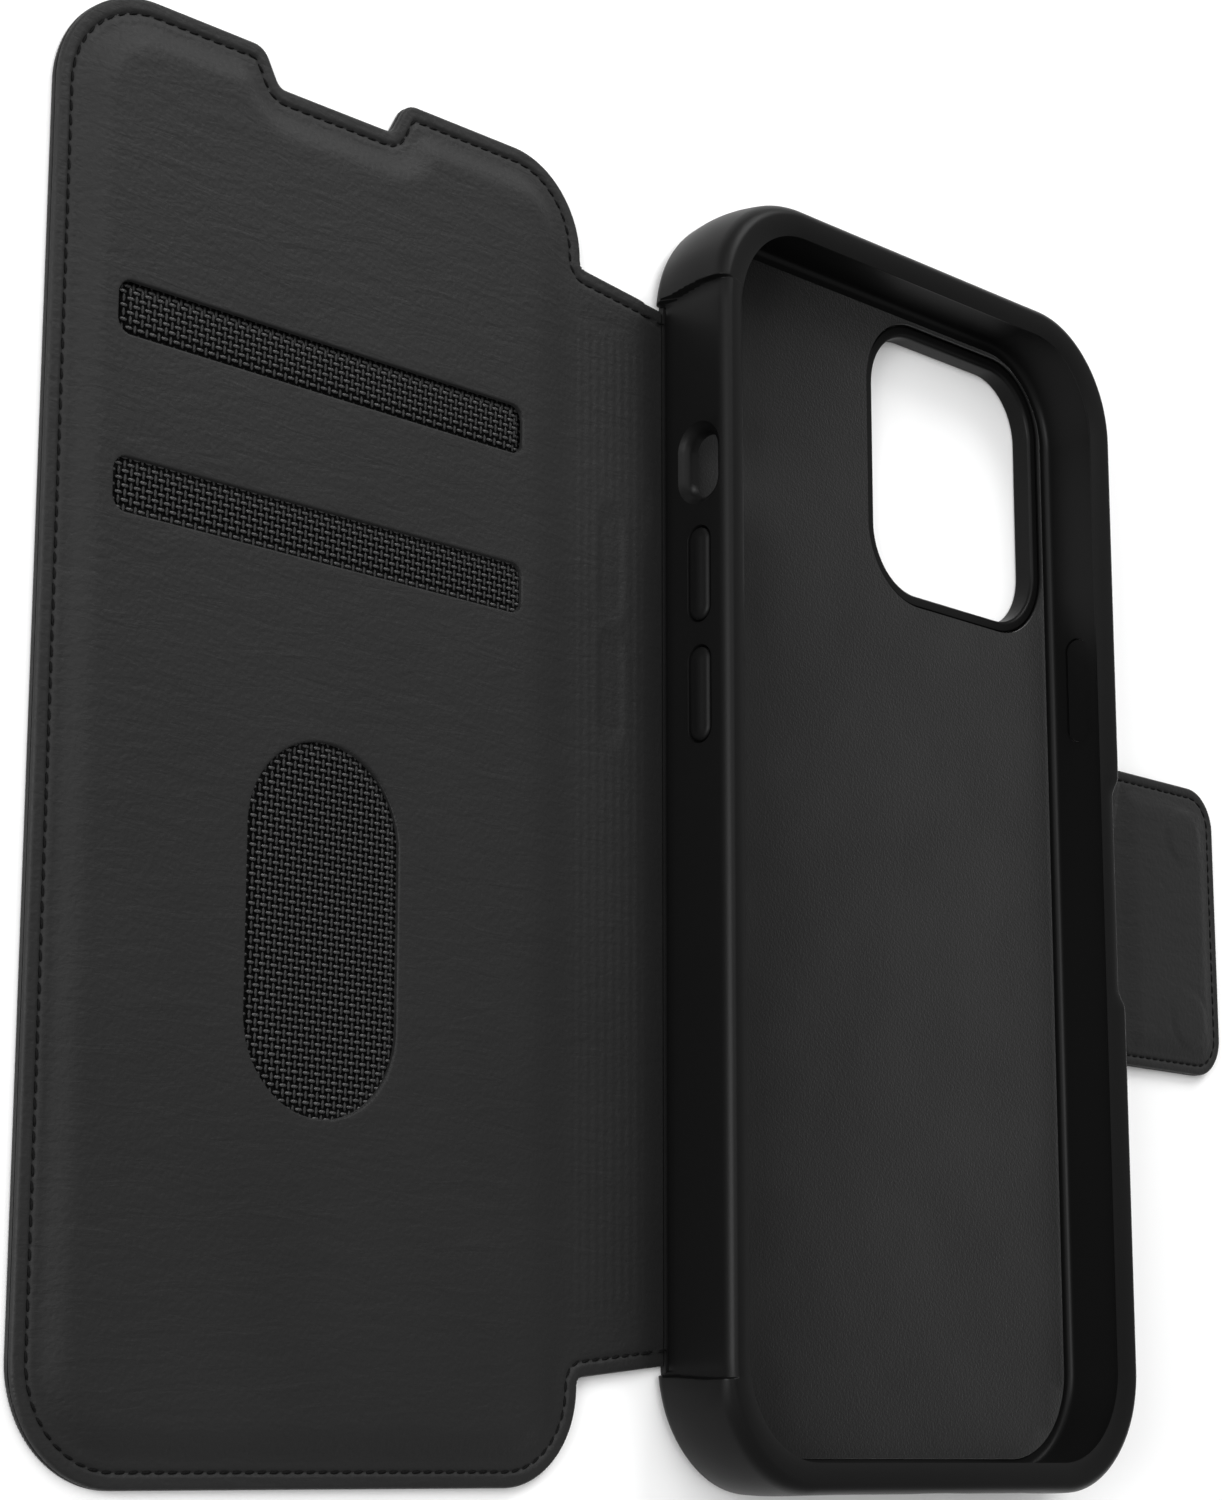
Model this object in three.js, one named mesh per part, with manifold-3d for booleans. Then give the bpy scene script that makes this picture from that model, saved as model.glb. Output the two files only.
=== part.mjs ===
// Phone wallet case, lying open and flat on its back. Millimetres.
// The origin is the centre of the back face of the tray. +X runs from the cover to the latch,
// +Y towards the top of the phone, +Z out of the mouth of the phone bay.
import * as THREE from "three";
import { mergeVertices } from "three/addons/utils/BufferGeometryUtils.js";
import Module from "manifold-3d";

const wasm = await Module();
wasm.setup();

// Leather: two skins, each about 0.8 thick, and the glue line between laminated layers
const LEATHER = 0.75;
const GLUE = 0.05;
const SEAM_TOP = 2 * (LEATHER + GLUE);
const NEUTRAL = LEATHER + GLUE;

// Tray
const TRAY = { halfWidth: 42, halfLength: 83, corner: 16.5 };
const TRAY_UNDERSIDE = 1.05;
const CREST = 12.7;
const BAY = { halfWidth: 38.65, halfLength: 80.25, corner: 13.8 };
const BAY_FLOOR = 3.1;
const BAY_CEILING = 11.8;
const MOUTH = { halfWidth: 37.5, halfLength: 79.1, corner: 12.6 };
const MOUTH_EDGE = 12.05;
const LINING_THICKNESS = 0.3;
const LINING_MARGIN = 1.65;
const BACK_LEATHER = 1;
const BACK_MARGIN = 1.2;
const BACK_CORNER = 14;

// Left wall, set back between the corner caps so that the spine lies in it
const SET_BACK = 1.2;
const LEFT_WALL = -(TRAY.halfWidth - SET_BACK);
const CAP_SEAM_BACK = 68.3;
const CAP_SEAM_FRONT = 70;

// Scoop in the right wall that the strap lies in
const SCOOP_HALF_LENGTH = 13.3;
const SCOOP_RAMP = 3.5;

// Openings and buttons in the walls: half sizes, along the wall and across it
const BUTTON_HEIGHT = 7.6;
const CLEARANCE = 0.3;
const SWITCH_SLOT = { y: 45.7, half: 4.8, across: 2.5, bevel: 1.2 };
const VOLUME_UP = { y: 31.1, half: 6.05, across: 1.7 };
const VOLUME_DOWN = { y: 15.5, half: 6.05, across: 1.7 };
const SIDE_BUTTON = { y: 30, half: 7.5, across: 1.7 };
const BUTTON_PROUD = 0.55;
const PORT = { half: 6.9, across: 3.2 };
const SPEAKER_SLOT = { x: 18, half: 5.5, across: 1.5 };

// Camera cut-out in the floor and the surround moulded to line it
const CAMERA = { x: 17, y: 57.5, halfWidth: 19.5, halfLength: 20.5, corner: 10.5 };
const SURROUND_WALL = 1.5;

// Spine, between two fold lines
const SPINE_FOLD = -42.2;
const SPINE_WIDTH = 14.4;
const COVER_FOLD = SPINE_FOLD - SPINE_WIDTH;
const FOLD_NEAR = 0.3;
const FOLD_FAR = 0.9;
const SPINE_HALF_AT_TRAY = 67.7;
const SPINE_HALF_AT_COVER = 69.3;
const RELIEF = { x: -49.2, half: 6.5, across: 2, depth: 0.45 };
const RELIEF_YS = [31.2, 15.7];

// Cover
const COVER_HALF_LENGTH = 82;
const COVER_EDGE = -136.4;
const COVER_CORNER = 13.2;
const COVER_SPINE_CORNER = 12.2;
const NOTCH = { left: -107.9, right: -85.7, slant: 2.4, depth: 4.4, outer: 2.5, inner: 1.5 };
const PANEL_TOP = 2.95;
const BORDER = 3.1;
const PANEL_SLOPE = 2.9;
const CAVITY_INSET = 4.6;
const CAVITY_TOP = 2.1;
const BOARD_THICKNESS = 0.5;
const BOARD_INSET = 5.1;
const FABRIC = 0.2;
const POCKET = { left: -130.3, right: -64, bottom: -48, mouth: 38, top: 54 };

// Windows in the inner leather of the cover
const CARD_WINDOW = { left: -128.1, right: -67.6, height: 6.2, corner: 1.8 };
const CARD_WINDOW_YS = [41.7, 21.6];
const THUMB_WINDOW = { x: -97.4, y: -20.6, halfWidth: 11.1, halfLength: 21.3 };

// Strap and latch tab
const STRAP_FOLD = 42.3;
const STRAP_LENGTH = 17.3;
const LATCH_FOLD = STRAP_FOLD + STRAP_LENGTH;
const STRAP_HALF = 12.8;
const FLARE_START = 53.4;
const FLARE_END = 55.6;
const LATCH_HALF = 22;
const LATCH_END = 81;
const LATCH_CORNER = 6;
const LATCH_PANEL_TOP = 2.2;
const LATCH_BORDER = 2.6;
const LATCH_CAVITY_INSET = 3.4;
const LATCH_CAVITY_TOP = 1.45;
const CORE_INSET = 4.8;
const MAGNET = { x: 72.5, y: 14, radius: 4, thickness: 0.9, hump: 0.3 };
const STRIKE = { x: -127.6, halfWidth: 3.5, halfLength: 5.5, thickness: 0.45 };

// Edge stitching, drawn as one flat band of thread
const STITCH_INSET = 2.2;
const THREAD = 0.35;
const THREAD_HEIGHT = 0.2;
const THREAD_REST = SEAM_TOP + GLUE;

const OVERCUT = 2;
const SHARP = 0.02;
const ARC_STEP = THREE.MathUtils.degToRad(12);
const SMALL_ARC_STEP = THREE.MathUtils.degToRad(30);
const SMALL_RADIUS = 4;

const moulded = { color: 0x1c1c1c, roughness: 0.55, metalness: 0 };
const leather = { color: 0x303030, roughness: 0.7, metalness: 0 };
const weave = { color: 0x232323, roughness: 0.9, metalness: 0 };
const microfibre = { color: 0x202020, roughness: 0.95, metalness: 0 };
const board = { color: 0x6b6258, roughness: 0.9, metalness: 0 };
const steel = { color: 0xa8a8a8, roughness: 0.35, metalness: 1 };
const thread = { color: 0x121212, roughness: 0.8, metalness: 0 };

// ---- Outlines: corners { x, y, r } in anticlockwise order, interior on the left ----

function rectangle({ halfWidth, halfLength, corner, x = 0, y = 0 }) {
  return [
    { x: x - halfWidth, y: y - halfLength, r: corner },
    { x: x + halfWidth, y: y - halfLength, r: corner },
    { x: x + halfWidth, y: y + halfLength, r: corner },
    { x: x - halfWidth, y: y + halfLength, r: corner },
  ];
}

function stadium(halfWidth, halfLength, x = 0, y = 0) {
  const corner = Math.min(halfWidth, halfLength) - SHARP;
  return rectangle({ halfWidth, halfLength, corner, x, y });
}

function mirroredAcrossX(corners) {
  const upper = corners.map(({ x, y, r }) => ({ x, y: -y, r }));
  return [...corners, ...upper.reverse()];
}

// Where two lines, each a point and a direction, cross.
function crossing(p, d, q, e) {
  const t = q.clone().sub(p).cross(e) / d.cross(e);
  return p.clone().addScaledVector(d, t);
}

// The outline moved inwards by inset, as points. The count of points depends only on the corners,
// so rings of the same outline, or of outlines with alike corners, can be joined one to one.
function ring(corners, inset = 0) {
  const at = corners.map(({ x, y }) => new THREE.Vector2(x, y));
  const after = (i) => (i + 1) % at.length;
  const ways = at.map((p, i) => at[after(i)].clone().sub(p).normalize());
  const leftOf = (way) => new THREE.Vector2(-way.y, way.x);
  const moved = at.map((p, i) => p.clone().addScaledVector(leftOf(ways[i]), inset));
  return at.flatMap((_, i) => {
    const before = (i + at.length - 1) % at.length;
    const tip = crossing(moved[before], ways[before], moved[i], ways[i]);
    const turn = Math.atan2(ways[before].cross(ways[i]), ways[before].dot(ways[i]));
    const side = Math.sign(turn);
    const radius = Math.max(corners[i].r - side * inset, SHARP);
    const step = corners[i].r > SMALL_RADIUS ? ARC_STEP : SMALL_ARC_STEP;
    const count = corners[i].r > SHARP ? Math.ceil(Math.abs(turn) / step) : 1;
    const start = tip.clone().addScaledVector(ways[before], -radius * Math.tan(Math.abs(turn) / 2));
    const spoke = leftOf(ways[before]).multiplyScalar(radius * side);
    const centre = start.clone().add(spoke);
    return Array.from({ length: count + 1 }, (_, k) =>
      start.clone().rotateAround(centre, (turn * k) / count),
    );
  });
}

// ---- Solids ----

function solid(geometry) {
  const bare = geometry.index ? geometry.toNonIndexed() : geometry.clone();
  bare.deleteAttribute("normal");
  bare.deleteAttribute("uv");
  const merged = mergeVertices(bare, 1e-4);
  return new wasm.Manifold(
    new wasm.Mesh({
      numProp: 3,
      vertProperties: merged.attributes.position.array,
      triVerts: new Uint32Array(merged.index.array),
    }),
  );
}

// A closed skin over rings { z, points }, capped across the first and the last of them.
function loft(rings) {
  const count = rings[0].points.length;
  const positions = rings.flatMap(({ z, points }) => points.flatMap(({ x, y }) => [x, y, z]));
  const index = [];
  rings.slice(1).forEach((_, level) => {
    for (let i = 0; i < count; i += 1) {
      const a = level * count + i;
      const b = level * count + ((i + 1) % count);
      index.push(a, b, b + count, a, b + count, a + count);
    }
  });
  const last = (rings.length - 1) * count;
  const cap = (points) => THREE.ShapeUtils.triangulateShape(points, []);
  cap(rings[0].points).forEach(([a, b, c]) => index.push(c, b, a));
  cap(rings.at(-1).points).forEach(([a, b, c]) => index.push(last + a, last + b, last + c));
  const geometry = new THREE.BufferGeometry();
  geometry.setAttribute("position", new THREE.Float32BufferAttribute(positions, 3));
  geometry.setIndex(index);
  return geometry;
}

// A loft of one outline through levels [z, inset].
function lofted(corners, levels) {
  return loft(levels.map(([z, inset]) => ({ z, points: ring(corners, inset) })));
}

function plate(corners, low, high, inset = 0) {
  const shape = new THREE.Shape(ring(corners, inset));
  const made = new THREE.ExtrudeGeometry(shape, { depth: high - low, bevelEnabled: false });
  return made.translate(0, 0, low);
}

function disc(radius, low, high, x, y) {
  const made = new THREE.CylinderGeometry(radius, radius, high - low, 24);
  return made.rotateX(Math.PI / 2).translate(x, y, (low + high) / 2);
}

const AXIS_X = new THREE.Vector3(1, 0, 0);
const AXIS_Y = new THREE.Vector3(0, 1, 0);
const AXIS_Z = new THREE.Vector3(0, 0, 1);

// How a shape drawn flat turns to face out of each wall: its width then runs up the wall,
// its length along the wall, and its own +Z points out of the tray.
const FACING = {
  left: new THREE.Matrix4().makeBasis(AXIS_Z, AXIS_Y, AXIS_X.clone().negate()),
  right: new THREE.Matrix4().makeBasis(AXIS_Z, AXIS_Y.clone().negate(), AXIS_X),
  bottom: new THREE.Matrix4().makeBasis(AXIS_Z.clone().negate(), AXIS_X, AXIS_Y.clone().negate()),
};

function onWall(side, geometry, along) {
  const across = side === "bottom" ? [along, 0] : [0, along];
  return geometry.applyMatrix4(FACING[side]).translate(...across, BUTTON_HEIGHT);
}

function cut(body, geometries) {
  return geometries.reduce((left, geometry) => left.subtract(solid(geometry)), body);
}

// ---- The tray ----

const trayOutline = rectangle(TRAY);
const bayOutline = rectangle(BAY);
const mouthOutline = rectangle(MOUTH);

// Up the outside of the wall, over the crest, down the chamfer of the lip and into the bay.
function trayBlank() {
  const outside = [
    [TRAY_UNDERSIDE, 1.5],
    [1.5, 0.6],
    [2.3, 0.12],
    [3.3, 0],
    [10.9, 0],
    [11.9, 0.25],
    [12.45, 0.7],
    [CREST, 1.3],
  ].map(([z, inset]) => ({ z, points: ring(trayOutline, inset) }));
  const inside = [
    { z: MOUTH_EDGE, points: ring(mouthOutline) },
    { z: BAY_CEILING, points: ring(mouthOutline) },
    { z: BAY_CEILING, points: ring(bayOutline) },
    { z: BAY_FLOOR, points: ring(bayOutline) },
  ];
  return loft([...outside, ...inside]);
}

function spineRecess() {
  const slope = (CAP_SEAM_FRONT - CAP_SEAM_BACK) / CREST;
  const bottom = CAP_SEAM_BACK - slope * OVERCUT;
  const top = CAP_SEAM_FRONT + slope * OVERCUT;
  const corners = [
    { x: -OVERCUT, y: -bottom, r: SHARP },
    { x: CREST + OVERCUT, y: -top, r: SHARP },
    { x: CREST + OVERCUT, y: top, r: SHARP },
    { x: -OVERCUT, y: bottom, r: SHARP },
  ];
  return plate(corners, -LEFT_WALL, TRAY.halfWidth + OVERCUT).applyMatrix4(FACING.left);
}

function strapScoop() {
  const wall = TRAY.halfWidth - SET_BACK;
  const far = 1.5;
  const mouth = SCOOP_HALF_LENGTH + SCOOP_RAMP * far;
  const corners = [
    { x: wall, y: -SCOOP_HALF_LENGTH, r: 2 },
    { x: wall + SET_BACK * far, y: -mouth, r: SHARP },
    { x: wall + SET_BACK * far, y: mouth, r: SHARP },
    { x: wall, y: SCOOP_HALF_LENGTH, r: 2 },
  ];
  return plate(corners, 0, CREST + OVERCUT);
}

function switchSlot() {
  const { y, half, across, bevel } = SWITCH_SLOT;
  const outline = stadium(across + bevel, half + bevel);
  const levels = [
    [BAY.halfWidth - OVERCUT, bevel],
    [-LEFT_WALL - bevel, bevel],
    [-LEFT_WALL, 0],
    [-LEFT_WALL + OVERCUT, 0],
  ];
  return onWall("left", lofted(outline, levels), y);
}

function wallSlot(side, { half, across }, along, wall) {
  const outline = stadium(across, half);
  return onWall(side, plate(outline, wall - OVERCUT, wall + 3 * OVERCUT), along);
}

function buttonSlot(side, { y, half, across }) {
  const room = { half: half + CLEARANCE, across: across + CLEARANCE };
  return wallSlot(side, room, y, BAY.halfWidth);
}

function tray() {
  return cut(solid(trayBlank()), [
    spineRecess(),
    strapScoop(),
    switchSlot(),
    buttonSlot("left", VOLUME_UP),
    buttonSlot("left", VOLUME_DOWN),
    buttonSlot("right", SIDE_BUTTON),
    wallSlot("bottom", PORT, 0, BAY.halfLength),
    wallSlot("bottom", SPEAKER_SLOT, -SPEAKER_SLOT.x, BAY.halfLength),
    wallSlot("bottom", SPEAKER_SLOT, SPEAKER_SLOT.x, BAY.halfLength),
    plate(rectangle(CAMERA), -OVERCUT, BAY_FLOOR + OVERCUT),
  ]);
}

// A button cover fills its slot from just short of the bay to a little proud of the wall.
function button(side, { y, half, across }, wall) {
  const levels = [
    [BAY.halfWidth + CLEARANCE, 0],
    [wall + BUTTON_PROUD - 0.25, 0],
    [wall + BUTTON_PROUD, 0.3],
  ];
  return solid(onWall(side, lofted(stadium(across, half), levels), y));
}

function cameraSurround() {
  const outline = rectangle(CAMERA);
  const ringed = solid(plate(outline, 0, BAY_FLOOR, CLEARANCE));
  return cut(ringed, [plate(outline, -OVERCUT, BAY_FLOOR + OVERCUT, CLEARANCE + SURROUND_WALL)]);
}

function bayLining() {
  const low = BAY_FLOOR + GLUE;
  const pad = solid(plate(bayOutline, low, low + LINING_THICKNESS, LINING_MARGIN));
  return cut(pad, [plate(rectangle(CAMERA), 0, low + OVERCUT)]);
}

// Leather on the back of the tray, with a tongue out to each fold line.
function backLeather() {
  const side = TRAY.halfWidth - BACK_MARGIN;
  const end = TRAY.halfLength - BACK_MARGIN;
  const outline = mirroredAcrossX([
    { x: SPINE_FOLD - FOLD_NEAR, y: -SPINE_HALF_AT_TRAY, r: SHARP },
    { x: -side, y: -SPINE_HALF_AT_TRAY, r: SHARP },
    { x: -side, y: -end, r: BACK_CORNER },
    { x: side, y: -end, r: BACK_CORNER },
    { x: side, y: -STRAP_HALF, r: SHARP },
    { x: STRAP_FOLD + FOLD_NEAR, y: -STRAP_HALF, r: SHARP },
  ]);
  return cut(solid(plate(outline, 0, BACK_LEATHER)), [plate(rectangle(CAMERA), -OVERCUT, OVERCUT)]);
}

// ---- The spine ----

const spineOutline = mirroredAcrossX([
  { x: COVER_FOLD + FOLD_NEAR, y: -SPINE_HALF_AT_COVER, r: SHARP },
  { x: SPINE_FOLD - FOLD_FAR, y: -SPINE_HALF_AT_TRAY, r: SHARP },
]);

function spineInnerLeather() {
  const skin = solid(plate(spineOutline, NEUTRAL, SEAM_TOP));
  const relief = (y) =>
    plate(stadium(RELIEF.across, RELIEF.half, RELIEF.x, y), SEAM_TOP - RELIEF.depth, OVERCUT);
  return cut(skin, RELIEF_YS.map(relief));
}

// ---- The cover ----

function coverOutline() {
  const near = COVER_FOLD - FOLD_FAR;
  const top = COVER_HALF_LENGTH;
  const { left, right, slant, depth, outer, inner } = NOTCH;
  return [
    { x: COVER_EDGE, y: -top, r: COVER_CORNER },
    { x: near, y: -top, r: COVER_SPINE_CORNER },
    { x: near, y: top, r: COVER_SPINE_CORNER },
    { x: right, y: top, r: outer },
    { x: right - slant, y: top - depth, r: inner },
    { x: left + slant, y: top - depth, r: inner },
    { x: left, y: top, r: outer },
    { x: COVER_EDGE, y: top, r: COVER_CORNER },
  ];
}

function cardWindow(bottom) {
  const { left, right, height, corner } = CARD_WINDOW;
  return rectangle({
    halfWidth: (right - left) / 2,
    halfLength: height / 2,
    corner,
    x: (left + right) / 2,
    y: bottom + height / 2,
  });
}

// A skin with a flat border, raised over a soft slope to a panel, and hollow underneath.
function raisedSkin(outline, { top, border, slope, cavityInset, cavityTop }) {
  const rise = top - SEAM_TOP;
  const levels = [
    [NEUTRAL, 0],
    [SEAM_TOP - 0.25, 0],
    [SEAM_TOP, 0.3],
    [SEAM_TOP, border],
    [SEAM_TOP + 0.2 * rise, border + 0.15 * slope],
    [SEAM_TOP + 0.75 * rise, border + 0.55 * slope],
    [top, border + slope],
  ];
  const hollow = [
    [NEUTRAL - OVERCUT, cavityInset],
    [NEUTRAL, cavityInset],
    [cavityTop, cavityInset + 1.1],
  ];
  return cut(solid(lofted(outline, levels)), [lofted(outline, hollow)]);
}

function coverInnerLeather() {
  const skin = raisedSkin(coverOutline(), {
    top: PANEL_TOP,
    border: BORDER,
    slope: PANEL_SLOPE,
    cavityInset: CAVITY_INSET,
    cavityTop: CAVITY_TOP,
  });
  const windows = CARD_WINDOW_YS.map((y) => plate(cardWindow(y), 0, PANEL_TOP + OVERCUT));
  const { halfWidth, halfLength, x, y } = THUMB_WINDOW;
  const thumb = plate(stadium(halfWidth, halfLength, x, y), 0, PANEL_TOP + OVERCUT);
  return cut(skin, [...windows, thumb]);
}

// Stiffening board, notched at the fore edge for the strike plates.
function coverBoard() {
  const sheet = solid(plate(coverOutline(), NEUTRAL, NEUTRAL + BOARD_THICKNESS, BOARD_INSET));
  const notch = (y) =>
    plate(
      rectangle({
        halfWidth: STRIKE.halfWidth + SET_BACK,
        halfLength: STRIKE.halfLength + CLEARANCE,
        corner: SHARP,
        x: STRIKE.x - SET_BACK + CLEARANCE,
        y,
      }),
      0,
      OVERCUT,
    );
  return cut(sheet, [notch(-MAGNET.y), notch(MAGNET.y)]);
}

function strikePlate(y) {
  const outline = rectangle({ ...STRIKE, corner: 1, y });
  return solid(plate(outline, NEUTRAL, NEUTRAL + STRIKE.thickness));
}

function pocketSheet(top, low) {
  const { left, right, bottom } = POCKET;
  const outline = rectangle({
    halfWidth: (right - left) / 2,
    halfLength: (top - bottom) / 2,
    corner: 2,
    x: (left + right) / 2,
    y: (top + bottom) / 2,
  });
  return solid(plate(outline, low, low + FABRIC));
}

// ---- The strap and the latch tab ----

const strapOutline = mirroredAcrossX([
  { x: STRAP_FOLD + FOLD_FAR, y: -STRAP_HALF, r: SHARP },
  { x: FLARE_START, y: -STRAP_HALF, r: 1.5 },
  { x: FLARE_END, y: -LATCH_HALF, r: 1.5 },
  { x: LATCH_FOLD - FOLD_NEAR, y: -LATCH_HALF, r: SHARP },
]);

const latchOutline = mirroredAcrossX([
  { x: LATCH_FOLD + FOLD_FAR, y: -LATCH_HALF, r: SHARP },
  { x: LATCH_END, y: -LATCH_HALF, r: LATCH_CORNER },
]);

const MAGNET_YS = [MAGNET.y, -MAGNET.y];

// The skin rises in a low round hump over each magnet.
function latchInnerLeather() {
  const skin = raisedSkin(latchOutline, {
    top: LATCH_PANEL_TOP,
    border: LATCH_BORDER,
    slope: 1.6,
    cavityInset: LATCH_CAVITY_INSET,
    cavityTop: LATCH_CAVITY_TOP,
  });
  const { x, radius, hump } = MAGNET;
  const top = LATCH_PANEL_TOP + hump;
  const humps = MAGNET_YS.map((y) => disc(radius + 0.6, LATCH_CAVITY_TOP + hump, top, x, y));
  const rooms = MAGNET_YS.map((y) => disc(radius + CLEARANCE, 0, top - LEATHER + 0.1, x, y));
  const raised = humps.reduce((body, geometry) => body.add(solid(geometry)), skin);
  return cut(raised, rooms);
}

// The stiffener has a bay at each outer corner that holds a magnet in place.
function latchCore() {
  const low = NEUTRAL + GLUE;
  const radius = MAGNET.radius + CLEARANCE;
  const inner = MAGNET.x - radius;
  const halfWidth = (LATCH_END - inner) / 2;
  const sheet = solid(plate(latchOutline, low, LATCH_CAVITY_TOP - GLUE, CORE_INSET));
  const bay = (y) => plate(stadium(halfWidth, radius, inner + halfWidth, y), 0, OVERCUT);
  return cut(sheet, MAGNET_YS.map(bay));
}

function magnet(y) {
  const low = NEUTRAL + GLUE;
  return solid(disc(MAGNET.radius, low, low + MAGNET.thickness, MAGNET.x, y));
}

// One flat band of thread around an outline.
function stitching(outline) {
  const high = THREAD_REST + THREAD_HEIGHT;
  const band = solid(plate(outline, THREAD_REST, high, STITCH_INSET));
  return cut(band, [plate(outline, 0, high + OVERCUT, STITCH_INSET + THREAD)]);
}

// ---- The scene graph ----

function part(name, made, finish) {
  const { vertProperties, triVerts } = made.getMesh();
  const geometry = new THREE.BufferGeometry();
  geometry.setAttribute("position", new THREE.BufferAttribute(vertProperties, 3));
  geometry.setIndex(new THREE.BufferAttribute(triVerts, 1));
  geometry.computeVertexNormals();
  const mesh = new THREE.Mesh(geometry, new THREE.MeshStandardMaterial(finish));
  mesh.name = name;
  return mesh;
}

function group(name, ...parts) {
  const made = new THREE.Group();
  made.name = name;
  made.add(...parts);
  return made;
}

const outerSkin = (outline) => solid(plate(outline, 0, LEATHER));
const boardTop = NEUTRAL + BOARD_THICKNESS;

const trayGroup = group(
  "tray",
  part("tray_shell", tray(), moulded),
  part("camera_surround", cameraSurround(), moulded),
  part("bay_lining", bayLining(), microfibre),
  part("back_leather", backLeather(), leather),
  part("volume_up_button", button("left", VOLUME_UP, -LEFT_WALL), moulded),
  part("volume_down_button", button("left", VOLUME_DOWN, -LEFT_WALL), moulded),
  part("side_button", button("right", SIDE_BUTTON, TRAY.halfWidth), moulded),
);

const spineGroup = group(
  "spine",
  part("spine_outer_leather", outerSkin(spineOutline), leather),
  part("spine_inner_leather", spineInnerLeather(), leather),
);

const coverGroup = group(
  "cover",
  part("cover_outer_leather", outerSkin(coverOutline()), leather),
  part("cover_board", coverBoard(), board),
  part("strike_plate_upper", strikePlate(MAGNET.y), steel),
  part("strike_plate_lower", strikePlate(-MAGNET.y), steel),
  part("pocket_lining", pocketSheet(POCKET.top, boardTop + GLUE), weave),
  part("pocket_divider", pocketSheet(POCKET.mouth, boardTop + 2 * FABRIC + GLUE), weave),
  part("cover_inner_leather", coverInnerLeather(), leather),
  part("cover_stitching", stitching(coverOutline()), thread),
);

const strapGroup = group(
  "strap",
  part("strap_outer_leather", outerSkin(strapOutline), leather),
  part("strap_inner_leather", solid(plate(strapOutline, NEUTRAL, SEAM_TOP)), leather),
);

const latchGroup = group(
  "latch",
  part("latch_outer_leather", outerSkin(latchOutline), leather),
  part("latch_core", latchCore(), board),
  part("magnet_upper", magnet(MAGNET.y), steel),
  part("magnet_lower", magnet(-MAGNET.y), steel),
  part("latch_inner_leather", latchInnerLeather(), leather),
  part("latch_stitching", stitching(latchOutline), thread),
);

export default group("phone_wallet_case", trayGroup, spineGroup, coverGroup, strapGroup, latchGroup);
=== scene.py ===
import math

import bmesh
import bpy
import numpy as np
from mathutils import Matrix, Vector
from mathutils.geometry import delaunay_2d_cdt


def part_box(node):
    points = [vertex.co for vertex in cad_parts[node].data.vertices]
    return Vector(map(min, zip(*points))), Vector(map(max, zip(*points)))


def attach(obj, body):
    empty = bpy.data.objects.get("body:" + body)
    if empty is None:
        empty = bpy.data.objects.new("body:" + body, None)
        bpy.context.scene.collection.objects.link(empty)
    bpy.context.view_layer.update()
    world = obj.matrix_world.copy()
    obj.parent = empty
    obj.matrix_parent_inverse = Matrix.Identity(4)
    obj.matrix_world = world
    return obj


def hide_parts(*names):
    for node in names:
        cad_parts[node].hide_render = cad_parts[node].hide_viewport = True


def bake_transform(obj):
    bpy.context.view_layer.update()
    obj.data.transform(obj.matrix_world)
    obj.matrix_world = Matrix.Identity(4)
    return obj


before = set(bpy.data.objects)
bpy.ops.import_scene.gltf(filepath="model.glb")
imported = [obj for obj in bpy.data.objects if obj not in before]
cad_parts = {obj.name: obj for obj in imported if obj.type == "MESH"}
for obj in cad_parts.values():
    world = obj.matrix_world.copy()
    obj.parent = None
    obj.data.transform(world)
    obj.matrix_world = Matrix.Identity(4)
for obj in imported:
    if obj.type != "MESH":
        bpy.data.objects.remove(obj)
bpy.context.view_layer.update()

bl_info = {
    "name": "Phone Wallet Case",
    "version": (1, 0, 0),
    "blender": (4, 5, 0),
    "location": "3D View > Sidebar > Wallet Case",
    "description": "Leather, stitching, pocket cloth and moulded tray of a phone wallet case",
    "category": "Add Mesh",
}

MM = 0.001


# ---------------------------------------------------------------- colours

def srgb(code):
    """A hex colour such as #2a2a2a as linear red, green, blue and alpha."""
    values = [int(code[i:i + 2], 16) / 255 for i in (1, 3, 5)]
    linear = [v / 12.92 if v <= 0.04045 else ((v + 0.055) / 1.055) ** 2.4 for v in values]
    return (*linear, 1.0)


def colour(name, description, code):
    return bpy.props.FloatVectorProperty(
        name=name, description=description, subtype="COLOR", size=4, min=0, max=1, default=srgb(code)
    )


def length(name, description, millimetres):
    return bpy.props.FloatProperty(
        name=name, description=description, unit="LENGTH", precision=5, min=0, default=millimetres * MM
    )


class WalletCaseColours(bpy.types.PropertyGroup):
    inner_leather: colour("Inner leather", "Panel and spine leather on the inside", "#111111")
    border_leather: colour("Border leather", "Turned and stitched edge of the inner leather", "#131313")
    outer_leather: colour("Outer leather", "Leather on the outside of the case", "#101010")
    tray: colour("Tray", "Moulded tray and its buttons", "#0d0d0d")
    lining: colour("Lining", "Microfibre on the floor of the phone bay", "#141414")
    thread: colour("Thread", "Sewing thread", "#050505")
    # Weft: painted highlight. Weft and warp are one black nylon; the weft is drawn lighter where its floats
    # catch the light.
    weft: colour("Weft", "Pocket cloth threads that run across the case", "#303030")
    # Warp: painted shade. It is the same black nylon as the weft, drawn darker.
    warp: colour("Warp", "Pocket cloth threads that run along the case", "#1a1a1a")
    ground: colour("Ground", "Pocket cloth between its threads, in their shade", "#030303")
    board: colour("Board", "Pressed board inside the cover and the latch", "#5f574d")


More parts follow.
